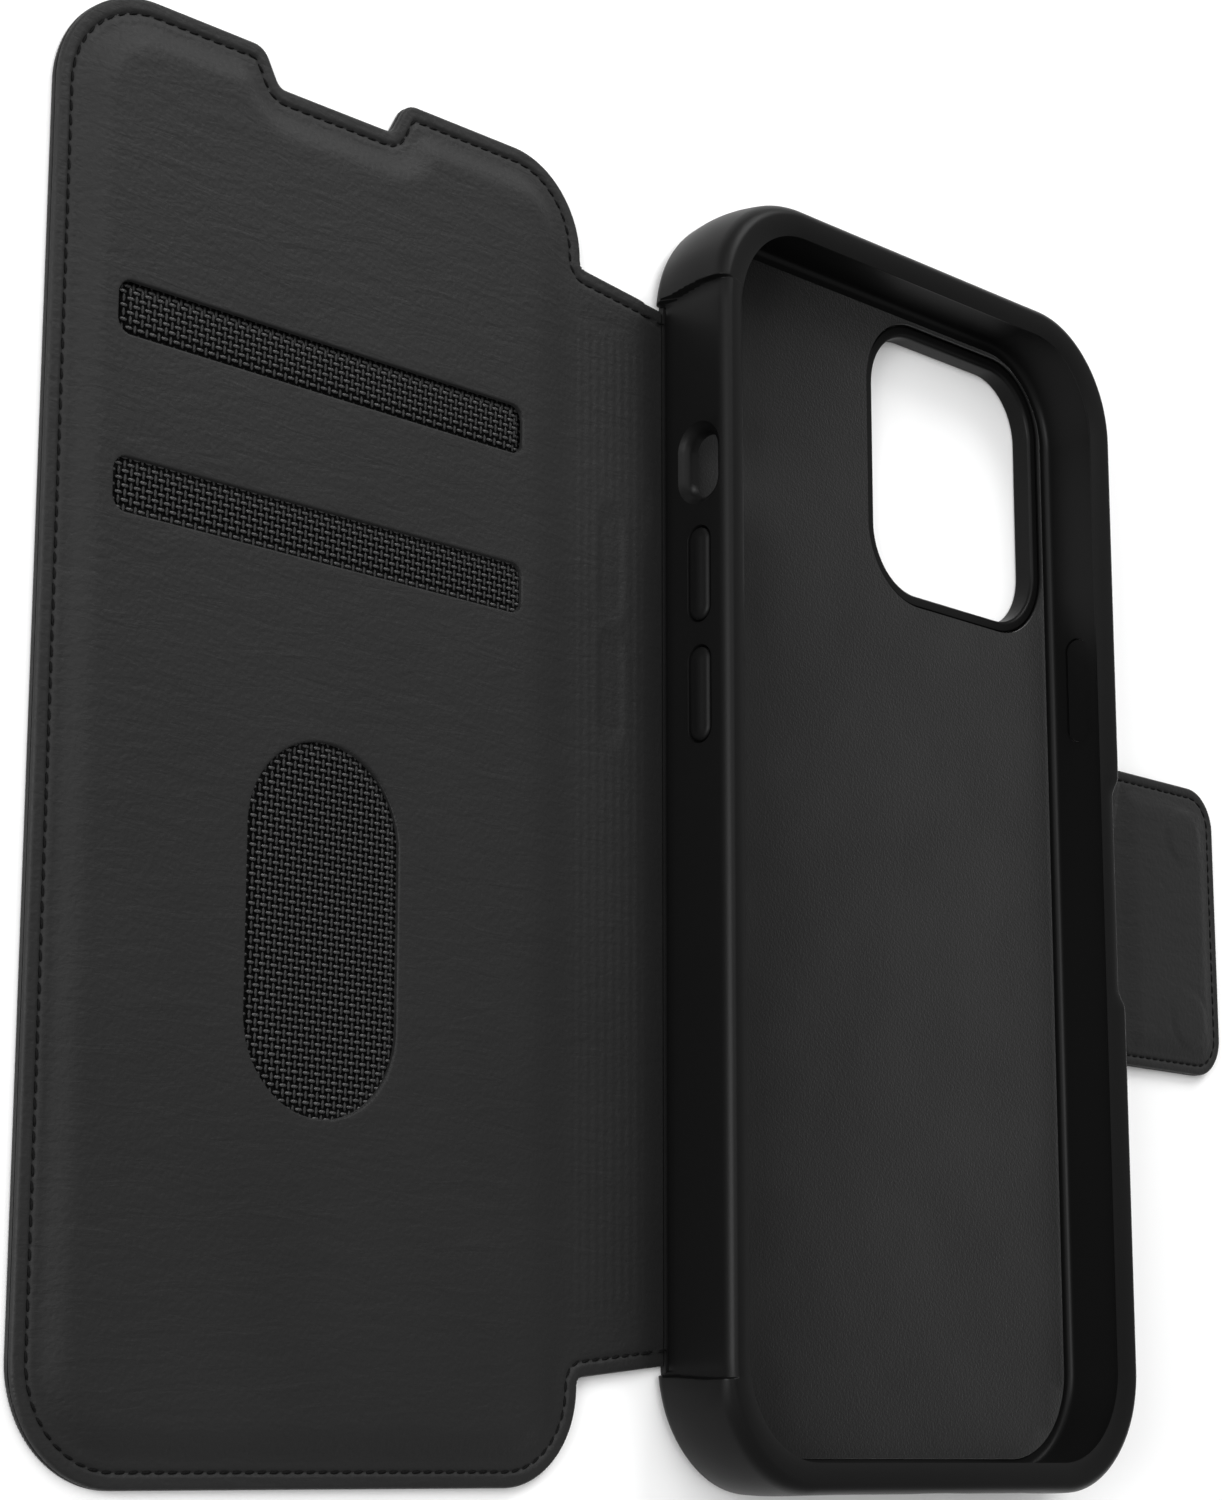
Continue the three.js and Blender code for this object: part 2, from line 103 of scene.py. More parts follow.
class WalletCaseSizes(bpy.types.PropertyGroup):
    stitch_pitch: length("Stitch pitch", "From one stitch to the next", 1.7)
    stitch_length: length("Stitch length", "Thread showing in one stitch", 1.35)
    thread_width: length("Thread width", "Width of the sewing thread", 0.36)
    stitch_inset: length("Cover stitch inset", "From the cover's edge to its stitch line", 1.85)
    latch_stitch_inset: length(
        "Latch stitch inset", "From the strap and latch tab's edge to their stitch line", 1.45)
    rib_pitch: length("Rib pitch", "From one spine rib to the next", 1.45)
    rib_depth: length("Rib depth", "Depth of the grooves between spine ribs", 0.045)
    weave_pitch: length("Weave pitch", "From one pocket cloth thread to the next", 0.82)
    window_roll: length("Window edge", "Rounding of the leather round the pocket windows", 0.22)


# ------------------------------------------- sizes shared by several pieces, mm

def rectangle(left, right, low, high, radius):
    """The corners of a rounded rectangle, anticlockwise."""
    return [(left, low, radius), (right, low, radius), (right, high, radius), (left, high, radius)]


# Heights of the flat border and the raised panel, and of the plane where inner and outer leather meet.
BORDER_TOP = 1.6
PANEL_TOP = 2.6
MEETING_HEIGHT = 0.8
LEATHER_EDGE_ROLL = 0.42
OUTER_EDGE_ROLL = 0.4
BORDER_WIDTH = 2.4
GROOVE_DEPTH = 0.28
GROOVE_WIDTH = 0.3

# Half the width, half the length and the corner radius of the tray, its mouth and its bay.
TRAY = (42.0, 83.0, 16.5)
MOUTH = (37.5, 79.1, 12.6)
BAY = (38.65, 80.25, 13.8)
WALL_STRAIGHT = (TRAY[0] - TRAY[2], TRAY[1] - TRAY[2])
FOOT_TOP = 1.05
CREST = 10.9
TRAY_TOP = 12.7
CAP_BULGE = 0.9
WALL_SET_BACK = 1.0
SCOOP_DIP = 0.6

CAMERA_CUT = rectangle(-2.5, 36.5, 37.0, 78.0, 10.5)
BACK = rectangle(-40.6, 40.6, -81.6, 81.6, 14.9)

# The cover and spine are one outline. Its right end lies under the tray, out of sight.
COVER = [
    (-20.0, -65.2, 0.3), (-20.0, 65.2, 0.3), (-56.2, 69.3, 1.0), (-56.2, 82.0, 11.6),
    (-85.7, 82.0, 2.5), (-88.1, 77.6, 1.5), (-105.5, 77.6, 1.5), (-107.9, 82.0, 2.5),
    (-136.4, 82.0, 13.2), (-136.4, -82.0, 13.2), (-56.2, -82.0, 11.6), (-56.2, -69.3, 1.0),
]
# The raised panel follows the cover's edge, but turns the outer corners of the notch more softly.
PANEL = [(x, y, 6.6 if radius == 2.5 else radius) for x, y, radius in COVER]
# The strap and latch tab are one outline too, and its left end lies under the tray.
LATCH = [
    (20.0, -12.8, 0.3), (53.4, -12.8, 1.5), (55.6, -22.0, 2.2), (81.0, -22.0, 6.0),
    (81.0, 22.0, 6.0), (55.6, 22.0, 2.2), (53.4, 12.8, 1.5), (20.0, 12.8, 0.3),
]
# Where the leather is split between one body and the next.
SPINE_SPLIT = -44.0
STRAP_SPLIT = 51.0

UPPER_WINDOW = rectangle(-128.1, -67.1, 41.7, 47.9, 1.8)
LOWER_WINDOW = rectangle(-128.1, -67.1, 21.6, 27.8, 1.8)
THUMB_WINDOW = rectangle(-108.5, -86.3, -41.9, 0.7, 11.0)
WINDOWS = [UPPER_WINDOW, LOWER_WINDOW, THUMB_WINDOW]

RELIEF_CENTRES = [(-50.7, 31.8), (-50.7, 15.8)]
RELIEF_HALF = (2.0, 7.0)
RELIEF_DEPTH = 0.2
MAGNET_CENTRES = [(72.5, 14.0), (72.5, -14.0)]


# ---------------------------------------------------------------- outlines

def smooth(low, high, value):
    """0 below low, 1 above high and an S-curve between. It also runs backwards, from high to low."""
    t = np.clip((value - low) / (high - low), 0, 1)
    return t * t * (3 - 2 * t)


def rounded_outline(corners, inset=0.0, step=0.5, steps=None):
    """Points along an anticlockwise outline of (x, y, radius) corners, moved inwards by inset."""
    points = []
    count = len(corners)
    for i, (x, y, radius) in enumerate(corners):
        here = np.array([x, y])
        before = here - np.array(corners[i - 1][:2])
        after = np.array(corners[(i + 1) % count][:2]) - here
        before = before / np.linalg.norm(before)
        after = after / np.linalg.norm(after)
        turn = math.atan2(before[0] * after[1] - before[1] * after[0], before @ after)
        side = 1 if turn > 0 else -1
        inward_before = np.array([-before[1], before[0]])
        inward_after = np.array([-after[1], after[0]])
        mitre = (inward_before + inward_after) / (1 + inward_before @ inward_after)
        bend = max(radius - side * inset, 0.05)
        centre = here + inset * mitre + side * bend * mitre
        first = math.atan2(*(-side * inward_before)[::-1])
        parts = steps or max(2, math.ceil(abs(turn) * bend / step))
        for k in range(parts + 1):
            angle = first + turn * k / parts
            points.append(centre + bend * np.array([math.cos(angle), math.sin(angle)]))
    return np.array(points)


def filled_in(points, step):
    """The closed line with points added wherever two of them are further apart than step."""
    made = []
    for a, b in zip(points, np.roll(points, -1, axis=0)):
        parts = max(1, math.ceil(np.linalg.norm(b - a) / step))
        made.extend(a + (b - a) * k / parts for k in range(parts))
    return np.array(made)


def cut_to_span(points, low, high):
    """The part of a closed line between x = low and x = high, closed along the cuts."""
    for limit, sign in ((low, 1), (high, -1)):
        kept = []
        for a, b in zip(points, np.roll(points, -1, axis=0)):
            inside_a = sign * (a[0] - limit) >= 0
            inside_b = sign * (b[0] - limit) >= 0
            if inside_a:
                kept.append(a)
            if inside_a != inside_b:
                kept.append(a + (b - a) * (limit - a[0]) / (b[0] - a[0]))
        points = np.array(kept)
    apart = np.linalg.norm(points - np.roll(points, 1, axis=0), axis=1) > 1e-4
    return points[apart]


def distance_to_line(points, line, chunk=2000):
    """Distance from each point to the nearest place on a closed line."""
    start = line
    along = np.roll(line, -1, axis=0) - start
    squared = (along ** 2).sum(1)
    nearest = np.empty(len(points))
    for i in range(0, len(points), chunk):
        offset = points[i:i + chunk, None, :] - start[None]
        t = np.clip((offset * along[None]).sum(2) / squared[None], 0, 1)
        gap = offset - t[..., None] * along[None]
        nearest[i:i + chunk] = np.sqrt((gap ** 2).sum(2).min(1))
    return nearest


def is_inside(points, line, chunk=2000):
    """True for each point that a closed line goes round."""
    ax, ay = line.T
    bx, by = np.roll(line, -1, axis=0).T
    rise = np.where(by == ay, 1e-12, by - ay)
    found = np.empty(len(points), bool)
    for i in range(0, len(points), chunk):
        x, y = points[i:i + chunk, 0, None], points[i:i + chunk, 1, None]
        crosses = ((ay > y) != (by > y)) & (x < (bx - ax) * (y - ay) / rise + ax)
        found[i:i + chunk] = crosses.sum(1) % 2 == 1
    return found


# ---------------------------------------------------------------- meshes

def linked(name, data):
    made = bpy.data.objects.new(name, data)
    bpy.context.scene.collection.objects.link(made)
    return made


def from_points(name, vertices, edges, faces):
    """An object made from points in mm."""
    mesh = bpy.data.meshes.new(name)
    mesh.from_pydata((np.asarray(vertices) * MM).tolist(), edges, faces)
    mesh.validate()
    return linked(name, mesh)


def finish_shading(mesh, sharp=40):
    mesh.polygons.foreach_set("use_smooth", [True] * len(mesh.polygons))
    mesh.set_sharp_from_angle(angle=math.radians(sharp))
    mesh.update()


def placed(name, vertices, faces, material, sharp=40):
    """A smooth-shaded object from points in mm."""
    piece = from_points(name, vertices, [], faces)
    piece.data.materials.append(material)
    finish_shading(piece.data, sharp)
    return piece


def mark(mesh, name, values):
    """Stores a number for each point of a mesh, for a material or a node tree to read."""
    attribute = mesh.attributes.new(name, "FLOAT", "POINT")
    attribute.data.foreach_set("value", values.astype(np.float32))


def lofted(name, rings, material, closed=False, sharp=40):
    """A solid skinned over rings of equal count, capped at both ends or closed end to end."""
    count = len(rings[0])
    vertices = np.concatenate(rings)
    last = len(rings) if closed else len(rings) - 1
    faces = []
    for level in range(last):
        a = level * count
        b = (level + 1) % len(rings) * count
        for i in range(count):
            j = (i + 1) % count
            faces.append((a + i, a + j, b + j, b + i))
    if not closed:
        faces.append(tuple(reversed(range(count))))
        faces.append(tuple(range((len(rings) - 1) * count, len(rings) * count)))
    piece = placed(name, vertices, faces, material, sharp)
    shape = bmesh.new()
    shape.from_mesh(piece.data)
    bmesh.ops.remove_doubles(shape, verts=shape.verts, dist=1e-7)
    bmesh.ops.recalc_face_normals(shape, faces=shape.faces)
    shape.to_mesh(piece.data)
    shape.free()
    finish_shading(piece.data, sharp)
    return piece


def at_height(outline, z):
    return np.column_stack([outline, np.full(len(outline), z)])


def on_side_wall(outline, x):
    """An outline drawn in y and z, on a wall at x."""
    return np.column_stack([np.full(len(outline), x), outline])


def on_end_wall(outline, y):
    """An outline drawn in x and z, on a wall at y."""
    return np.column_stack([outline[:, 0], np.full(len(outline), y), outline[:, 1]])


def sheet(name, outline, span, insets, holes, rims, grids, top, under, material):
    """A solid sheet between the heights top(points, edge) and under(points, edge).

    Points lie on the outline and its insets, on each hole and its rims, and on the grids between.
    """
    step = 0.55
    edge_line = filled_in(rounded_outline(outline), step)
    boundary = filled_in(cut_to_span(edge_line, *span), step)
    loops = [boundary] + [filled_in(rounded_outline(hole), step) for hole in holes]
    inner = [filled_in(rounded_outline(outline, inset), step) for inset in insets]
    inner += [filled_in(rounded_outline(hole, -rim), step) for hole in holes for rim in rims]
    inner = np.concatenate(inner)
    inner = inner[(inner[:, 0] > span[0] + 0.15) & (inner[:, 0] < span[1] - 0.15)]
    for xs, ys in grids:
        mesh_x, mesh_y = np.meshgrid(xs, ys)
        field = np.column_stack([mesh_x.ravel(), mesh_y.ravel()])
        field = field[(field[:, 0] > span[0] + 0.1) & (field[:, 0] < span[1] - 0.1)]
        field = field[is_inside(field, boundary)]
        field = field[distance_to_line(field, edge_line) > insets[-1] + 0.3]
        for loop in loops[1:]:
            clear = ~is_inside(field, loop) & (distance_to_line(field, loop) > rims[-1] + 0.3)
            field = field[clear]
        inner = np.concatenate([inner, field])

    flat = np.concatenate(loops + [inner])
    fixed_edges = []
    start = 0
    for loop in loops:
        fixed_edges += [(start + i, start + (i + 1) % len(loop)) for i in range(len(loop))]
        start += len(loop)
    found = delaunay_2d_cdt([Vector(p) for p in flat], fixed_edges, [], 0, 1e-6)
    points = np.array([tuple(v) for v in found[0]])
    triangles = np.array([f for f in found[2] if len(f) == 3])
    centres = points[triangles].mean(1)
    kept = is_inside(centres, boundary)
    for loop in loops[1:]:
        kept &= ~is_inside(centres, loop)
    triangles = triangles[kept]
    a, b, c = points[triangles[:, 0]], points[triangles[:, 1]], points[triangles[:, 2]]
    area = (b - a)[:, 0] * (c - a)[:, 1] - (b - a)[:, 1] * (c - a)[:, 0]
    has_area = np.abs(area) > 1e-9
    triangles, area = triangles[has_area], area[has_area]
    triangles[area < 0] = triangles[area < 0][:, ::-1]
    used = np.unique(triangles)
    renumber = np.full(len(points), -1)
    renumber[used] = np.arange(len(used))
    points, triangles = points[used], renumber[triangles]

    edge = distance_to_line(points, edge_line)
    upper = np.column_stack([points, top(points, edge)])
    lower = np.column_stack([points, under(points, edge)])
    count = len(points)
    sides = triangles[:, [0, 1, 1, 2, 2, 0]].reshape(-1, 2)
    forward = set(map(tuple, sides.tolist()))
    rim_edges = [(i, j) for i, j in forward if (j, i) not in forward]
    faces = triangles.tolist() + (triangles[:, ::-1] + count).tolist()
    faces += [(j, i, i + count, j + count) for i, j in rim_edges]
    piece = placed(name, np.concatenate([upper, lower]), faces, material)
    share = smooth(BORDER_WIDTH + 0.4, BORDER_WIDTH - 0.4, edge)
    mark(piece.data, "border", np.concatenate([share, share]))
    return piece


def roll(distance, radius):
    """How far a rounded edge has dropped at a distance in from the edge."""
    reach = np.clip(radius - distance, 0, radius)
    return radius - np.sqrt(radius ** 2 - reach ** 2)


def level(z, edge_roll=0.0):
    """For a sheet's top or underside: one height, with its edge rolled down."""
    return lambda points, edge: z - roll(edge, edge_roll)


def gap_to(points, outline):
    """Distance from each point to an outline of corners."""
    return distance_to_line(points, filled_in(rounded_outline(outline), 0.5))


def groove(distance, centre, width=GROOVE_WIDTH, depth=GROOVE_DEPTH):
    return depth * np.exp(-((distance - centre) / width) ** 2)


def hollow(points, centre, half, soft):
    """1 inside an upright stadium and 0 outside, with a soft edge."""
    reach = half[1] - half[0]
    dy = np.clip(np.abs(points[:, 1] - centre[1]) - reach, 0, None)
    dx = points[:, 0] - centre[0]
    return smooth(half[0] + soft / 2, half[0] - soft / 2, np.hypot(dx, dy))


# ---------------------------------------------------------------- nodes

def connect(tree, node, inputs):
    """Sets or links a node's inputs. A node given for an input stands for its first output."""
    for socket, value in inputs.items():
        if isinstance(value, bpy.types.Node):
            value = value.outputs[0]
        if isinstance(value, bpy.types.NodeSocket):
            tree.links.new(value, node.inputs[socket])
        else:
            node.inputs[socket].default_value = value


def add(tree, kind, inputs=None, **settings):
    """One node, with its settings made and its inputs set or linked."""
    made = tree.nodes.new(kind)
    for key, value in settings.items():
        setattr(made, key, value)
    connect(tree, made, inputs or {})
    return made


def new_material(name):
    """A material with only a Principled shader on its output. Returns it with its tree and shader."""
    material = bpy.data.materials.new(name)
    material.use_nodes = True
    tree = material.node_tree
    tree.nodes.clear()
    shader = add(tree, "ShaderNodeBsdfPrincipled")
    add(tree, "ShaderNodeOutputMaterial", {"Surface": shader})
    return material, tree, shader


def new_geometry_tree(name, sizes, finishes):
    """A geometry node tree with named inputs for sizes and materials, and its input and output nodes."""
    tree = bpy.data.node_groups.new(name, "GeometryNodeTree")
    sockets = [("Geometry", "Geometry"), *((s, "Float") for s in sizes), *((f, "Material") for f in finishes)]
    for label, kind in sockets:
        tree.interface.new_socket(label, in_out="INPUT", socket_type="NodeSocket" + kind)
    tree.interface.new_socket("Geometry", in_out="OUTPUT", socket_type="NodeSocketGeometry")
    return tree, add(tree, "NodeGroupInput"), add(tree, "NodeGroupOutput")


def bake(piece, tree, values):
    """Runs a geometry node tree on a piece and keeps the result as its plain mesh."""
    modifier = piece.modifiers.new(tree.name, "NODES")
    modifier.node_group = tree
    for item in tree.interface.items_tree:
        if item.in_out == "INPUT" and item.name in values:
            modifier[item.identifier] = values[item.name]
    keep_evaluated_mesh(piece)
    finish_shading(piece.data)


def keep_evaluated_mesh(piece):
    """Replaces a piece's mesh with what its modifiers make of it, and removes them."""
    bpy.context.view_layer.update()
    graph = bpy.context.evaluated_depsgraph_get()
    made = bpy.data.meshes.new_from_object(
        piece.evaluated_get(graph), preserve_all_data_layers=True, depsgraph=graph
    )
    piece.modifiers.clear()
    piece.data = made
    made.name = piece.name


def cut_away(piece, cutters):
    """Cuts the cutters out of a piece and removes them."""
    for cutter in cutters:
        modifier = piece.modifiers.new(cutter.name, "BOOLEAN")
        modifier.operation = "DIFFERENCE"
        modifier.solver = "EXACT"
        modifier.object = cutter
    keep_evaluated_mesh(piece)
    for cutter in cutters:
        bpy.data.objects.remove(cutter)
    finish_shading(piece.data, 35)


# ---------------------------------------------------------------- materials

def repeat(millimetres):
    """The scale of a pattern that repeats in that many millimetres."""
    return 1 / (millimetres * MM)


def varied(tree, base, pattern, low, high, start=0.0, end=1.0):
    """A colour times low to high, as a pattern goes from start to end."""
    factor = add(tree, "ShaderNodeMapRange", {
        "Value": pattern, "From Min": start, "From Max": end, "To Min": low, "To Max": high})
    return add(tree, "ShaderNodeVectorMath", {0: base, "Scale": factor}, operation="SCALE")


def grain_leather(name, base, border):
    """Drum-dyed, pigment-finished calf leather: matte, with a fine pebbled grain and faint
    creases that run across the case. The turned border is pressed flatter and looks greyer."""
    material, tree, shader = new_material(name)
    place = add(tree, "ShaderNodeTexCoord").outputs["Object"]
    pebble = add(tree, "ShaderNodeTexVoronoi", {"Vector": place, "Scale": repeat(0.7)}, feature="SMOOTH_F1")
    pores = add(tree, "ShaderNodeTexNoise", {"Vector": place, "Scale": repeat(0.45), "Detail": 3.0})
    stretched = add(tree, "ShaderNodeMapping", {"Vector": place, "Scale": (0.22, 1.0, 1.0)})
    crease = add(tree, "ShaderNodeTexNoise", {
        "Vector": stretched, "Scale": repeat(2.0), "Detail": 4.0, "Roughness": 0.6, "Distortion": 0.6})
    mottle = add(tree, "ShaderNodeTexNoise", {"Vector": place, "Scale": repeat(22), "Detail": 2.0})
    grain = add(tree, "ShaderNodeMath", {0: pebble, 1: pores}, operation="ADD")
    fold = add(tree, "ShaderNodeMath", {0: crease, 1: 3.0}, operation="MULTIPLY")
    height = add(tree, "ShaderNodeMath", {0: grain, 1: fold}, operation="ADD")
    edge = add(tree, "ShaderNodeAttribute", attribute_name="border")
    tone = add(tree, "ShaderNodeMix", {0: edge.outputs["Fac"], 6: base, 7: border}, data_type="RGBA")
    connect(tree, shader, {
        "Base Color": varied(tree, tone.outputs[2], mottle, 0.86, 1.14, 0.3, 0.7),
        "Roughness": add(tree, "ShaderNodeMapRange", {"Value": pores, "To Min": 0.5, "To Max": 0.68}),
        "Normal": add(tree, "ShaderNodeBump", {"Height": height, "Strength": 0.6, "Distance": 0.08 * MM}),
        "IOR": 1.48, "Specular IOR Level": 0.28, "Sheen Weight": 0.04, "Sheen Roughness": 0.5})
    return material


def spark_textured_plastic(name, base, roughness=0.42):
    """Polycarbonate moulded in a fine spark-eroded tool: satin black, with a very fine even
    texture and smoother, slightly shinier worn edges. The texture is drawn at 0.25 mm to show."""
    material, tree, shader = new_material(name)
    place = add(tree, "ShaderNodeTexCoord").outputs["Object"]
    texture = add(tree, "ShaderNodeTexNoise", {"Vector": place, "Scale": repeat(0.25), "Detail": 2.0})
    flow = add(tree, "ShaderNodeTexNoise", {"Vector": place, "Scale": repeat(30), "Detail": 1.0})
    worn = add(tree, "ShaderNodeNewGeometry").outputs["Pointiness"]
    connect(tree, shader, {
        "Base Color": varied(tree, base[:3], flow, 0.9, 1.1),
        "Roughness": add(tree, "ShaderNodeMapRange", {
            "Value": worn, "From Min": 0.5, "From Max": 0.56,
            "To Min": roughness, "To Max": roughness - 0.1}),
        "Normal": add(tree, "ShaderNodeBump", {"Height": texture, "Strength": 0.35, "Distance": 0.03 * MM}),
        "IOR": 1.5, "Specular IOR Level": 0.11})
    return material


def napped_microfibre(name, base):
    """Sueded polyester microfibre: no gloss, a soft nap that lies in brushed patches, and a
    pale sheen at low angles."""
    material, tree, shader = new_material(name)
    place = add(tree, "ShaderNodeTexCoord").outputs["Object"]
    fibre = add(tree, "ShaderNodeTexNoise", {"Vector": place, "Scale": repeat(0.3), "Detail": 4.0})
    brushed = add(tree, "ShaderNodeTexNoise", {"Vector": place, "Scale": repeat(14), "Detail": 3.0})
    connect(tree, shader, {
        "Base Color": varied(tree, base[:3], brushed, 0.75, 1.25, 0.3, 0.7),
        "Normal": add(tree, "ShaderNodeBump", {"Height": fibre, "Strength": 0.8, "Distance": 0.1 * MM}),
        "Roughness": 0.95, "Specular IOR Level": 0.15, "Sheen Weight": 0.35, "Sheen Roughness": 0.4})
    return material


def twisted_thread(name, base, roughness, twist_mm, gloss):
    """Bonded nylon thread or yarn: fine twisted strands, a soft shine along each strand."""
    material, tree, shader = new_material(name)
    place = add(tree, "ShaderNodeTexCoord").outputs["Object"]
    turned = add(tree, "ShaderNodeMapping", {"Vector": place, "Rotation": (0, 0, math.radians(35))})
    waves = add(tree, "ShaderNodeTexWave", {
        "Vector": turned, "Scale": repeat(twist_mm * 2 * math.pi), "Distortion": 1.5, "Detail": 1.0})
    strands = waves.outputs["Fac"]
    connect(tree, shader, {
        "Base Color": varied(tree, base[:3], strands, 0.7, 1.2),
        "Normal": add(tree, "ShaderNodeBump", {"Height": strands, "Strength": 0.5, "Distance": 0.04 * MM}),
        "Roughness": roughness, "Specular IOR Level": gloss})
    return material


def pressed_board(name, base):
    """Pressed grey-brown fibre board: matte, with flecks of fibre."""
    material, tree, shader = new_material(name)
    place = add(tree, "ShaderNodeTexCoord").outputs["Object"]
    fleck = add(tree, "ShaderNodeTexNoise", {"Vector": place, "Scale": repeat(1.2), "Detail": 5.0})
    connect(tree, shader, {"Base Color": varied(tree, base[:3], fleck, 0.7, 1.25), "Roughness": 0.85})
    return material


def rolled_metal(name, base, roughness):
    """Cold-rolled steel or nickel plate: bright, with fine lines left by rolling."""
    material, tree, shader = new_material(name)
    place = add(tree, "ShaderNodeTexCoord").outputs["Object"]
    drawn = add(tree, "ShaderNodeMapping", {"Vector": place, "Scale": (1.0, 0.05, 1.0)})
    lines = add(tree, "ShaderNodeTexNoise", {"Vector": drawn, "Scale": repeat(0.2), "Detail": 3.0})
    connect(tree, shader, {
        "Roughness": add(tree, "ShaderNodeMapRange", {
            "Value": lines, "To Min": roughness - 0.06, "To Max": roughness + 0.1}),
        "Base Color": base, "Metallic": 1.0})
    return material


def studio_paper(name, base):
    """Seamless background paper: matte and almost white."""
    material, tree, shader = new_material(name)
    connect(tree, shader, {"Base Color": base, "Roughness": 0.9, "Specular IOR Level": 0.1})
    return material


def finish_of(name, make, *values):
    """The material of that name, made the first time it is asked for."""
    return bpy.data.materials.get(name) or make(name, *values)


# ---------------------------------------------------------------- settings and frame

def colours():
    return bpy.context.scene.wallet_case_colours


def sizes():
    return bpy.context.scene.wallet_case_sizes


def stitch_inset(outline):
    """From an outline's edge to its stitch line, in mm."""
    return (sizes().stitch_inset if outline is COVER else sizes().latch_stitch_inset) / MM


def fit(piece, body, slot, *nodes):
    """Puts a piece on its body, or bakes its transform into its mesh when it spans two bodies, and hides the
    CAD nodes it replaces. The slot is not used.
    """
    if isinstance(body, str):
        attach(piece, body)
    else:
        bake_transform(piece)
    if nodes:
        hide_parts(*nodes)


# ---------------------------------------------------------------- tray

def tray_loop(size, inset=0.0):
    """One loop of the tray, with points crowded where the strap scoop and the cap seams are."""
    half_x, half_y, radius = np.subtract(size, inset)
    straight_x, straight_y = half_x - radius, half_y - radius
    scoop = np.arange(12.5, 18.01, 0.3) / WALL_STRAIGHT[1]
    up = np.unique(np.round(np.concatenate([np.linspace(-1, 1, 45), scoop, -scoop]), 5))
    across = np.linspace(-1, 1, 13)
    near_side = np.radians(np.concatenate([
        [1.5, 3.0], np.arange(4.0, 14.0, 0.3), np.linspace(14.5, 88.0, 24)]))
    corner = radius * np.column_stack([np.cos(near_side), np.sin(near_side)])
    right = np.column_stack([np.full(len(up), half_x), up * straight_y])
    upper_right = corner + (straight_x, straight_y)
    top = np.column_stack([across[::-1] * straight_x, np.full(len(across), half_y)])
    upper_left = (upper_right * (-1, 1))[::-1]
    return np.concatenate([right, upper_right, top, upper_left, -right, -upper_right, -top, -upper_left])


def strap_scoop(loop):
    """1 where the right wall is scooped for the strap, with a short ramp at each end."""
    return smooth(16.8, 13.6, np.abs(loop[:, 1] - 0.1)) * (loop[:, 0] > 0)


def outer_wall(z, inset=0.0):
    """A loop of the outer wall: set back on the left between two proud corner caps, whose seams
    lean away from the spine, and on the right for the strap."""
    loop = tray_loop(TRAY, inset)
    x, y = loop.T
    rise = min(z / 9.0, 1.0)
    seam = np.where(y > 0, 68.3 + 1.4 * rise, 68.6 + 0.6 * rise)
    left = smooth(seam + 0.14, seam - 0.14, np.abs(y)) * (x < 0)
    set_back = WALL_SET_BACK * (left + strap_scoop(loop))
    x -= np.sign(x) * set_back * np.clip((np.abs(x) - MOUTH[0]) / (TRAY[0] - MOUTH[0]), 0, None)
    corner = smooth(-2.0, 9.0, np.abs(x) - WALL_STRAIGHT[0]) * smooth(68.0, 74.0, np.abs(y))
    proud = CAP_BULGE * corner * max(0.0, 1 - ((z - 6.5) / 6.2) ** 2)
    outwards = np.sign(loop) * (np.abs(loop) - WALL_STRAIGHT)
    outwards /= np.maximum(np.linalg.norm(outwards, axis=1), 1e-6)[:, None]
    return loop + outwards * proud[:, None]


def raised_foot(loop, z, raised):
    """A loop at z, raised where the spine and strap leather pass under the wall."""
    x, y = loop.T
    spine = smooth(68.5, 68.1, np.abs(y)) * (x < 0)
    strap = smooth(14.0, 13.2, np.abs(y)) * (x > 0)
    return np.column_stack([loop, z + (raised - z) * (spine + strap)])


def tray_rings():
    """The outer wall from its foot to the crest, in to the mouth, and down inside to the floor."""
    rings = [raised_foot(outer_wall(z, 1.36), z, 1.03) for z in (1.03, 0.4)]
    for t in np.radians(np.linspace(12, 90, 9)):
        z = 0.25 + 1.5 * (1 - math.cos(t))
        loop = outer_wall(z, 1.3 * (1 - math.sin(t)))
        rings.append(raised_foot(loop, z, FOOT_TOP + 2.2 * (1 - math.cos(t))))
    rings += [at_height(outer_wall(z), z) for z in np.linspace(3.9, CREST, 8)]
    for t in np.radians(np.linspace(9, 90, 10)):
        z = CREST + (TRAY_TOP - CREST) * math.sin(t)
        rings.append(at_height(outer_wall(z, 1.4 * (1 - math.cos(t))), z))
    for ring in rings:
        x, z = ring[:, 0], ring[:, 2]
        ring[:, 2] -= SCOOP_DIP * strap_scoop(ring) * smooth(37.8, 41.2, x) * smooth(9.0, 12.2, z)
    last = rings[-1]
    mouth = at_height(tray_loop(MOUTH), 12.1)
    for share, drop in ((0.35, 0.06), (0.7, 0.26), (0.92, 0.5)):
        chamfer = last * (1 - share) + mouth * share
        chamfer[:, 2] = last[:, 2] * (1 - share) + TRAY_TOP * share - drop
        rings.append(chamfer)
    rings.append(mouth)
    rings += [at_height(tray_loop(MOUTH, inset), z) for inset, z in ((-0.02, 11.9), (-0.15, 11.8))]
    rings += [at_height(tray_loop(BAY), z) for z in (11.75, 9.0, 6.0, 4.2)]
    for t in np.radians((0, 30, 60, 90)):
        rings.append(at_height(tray_loop(BAY, 0.8 * (1 - math.cos(t))), 3.9 - 0.8 * math.sin(t)))
    return rings


CONTROL_HEIGHT = 7.6
BUTTON_HALF_WIDTH = 1.7
BUTTONS = {
    "volume_up": ("volume_up_button", 31.1, 6.05, -1),
    "volume_down": ("volume_down_button", 15.5, 6.05, -1),
    "side_key": ("side_button", 30.0, 7.5, 1),
}


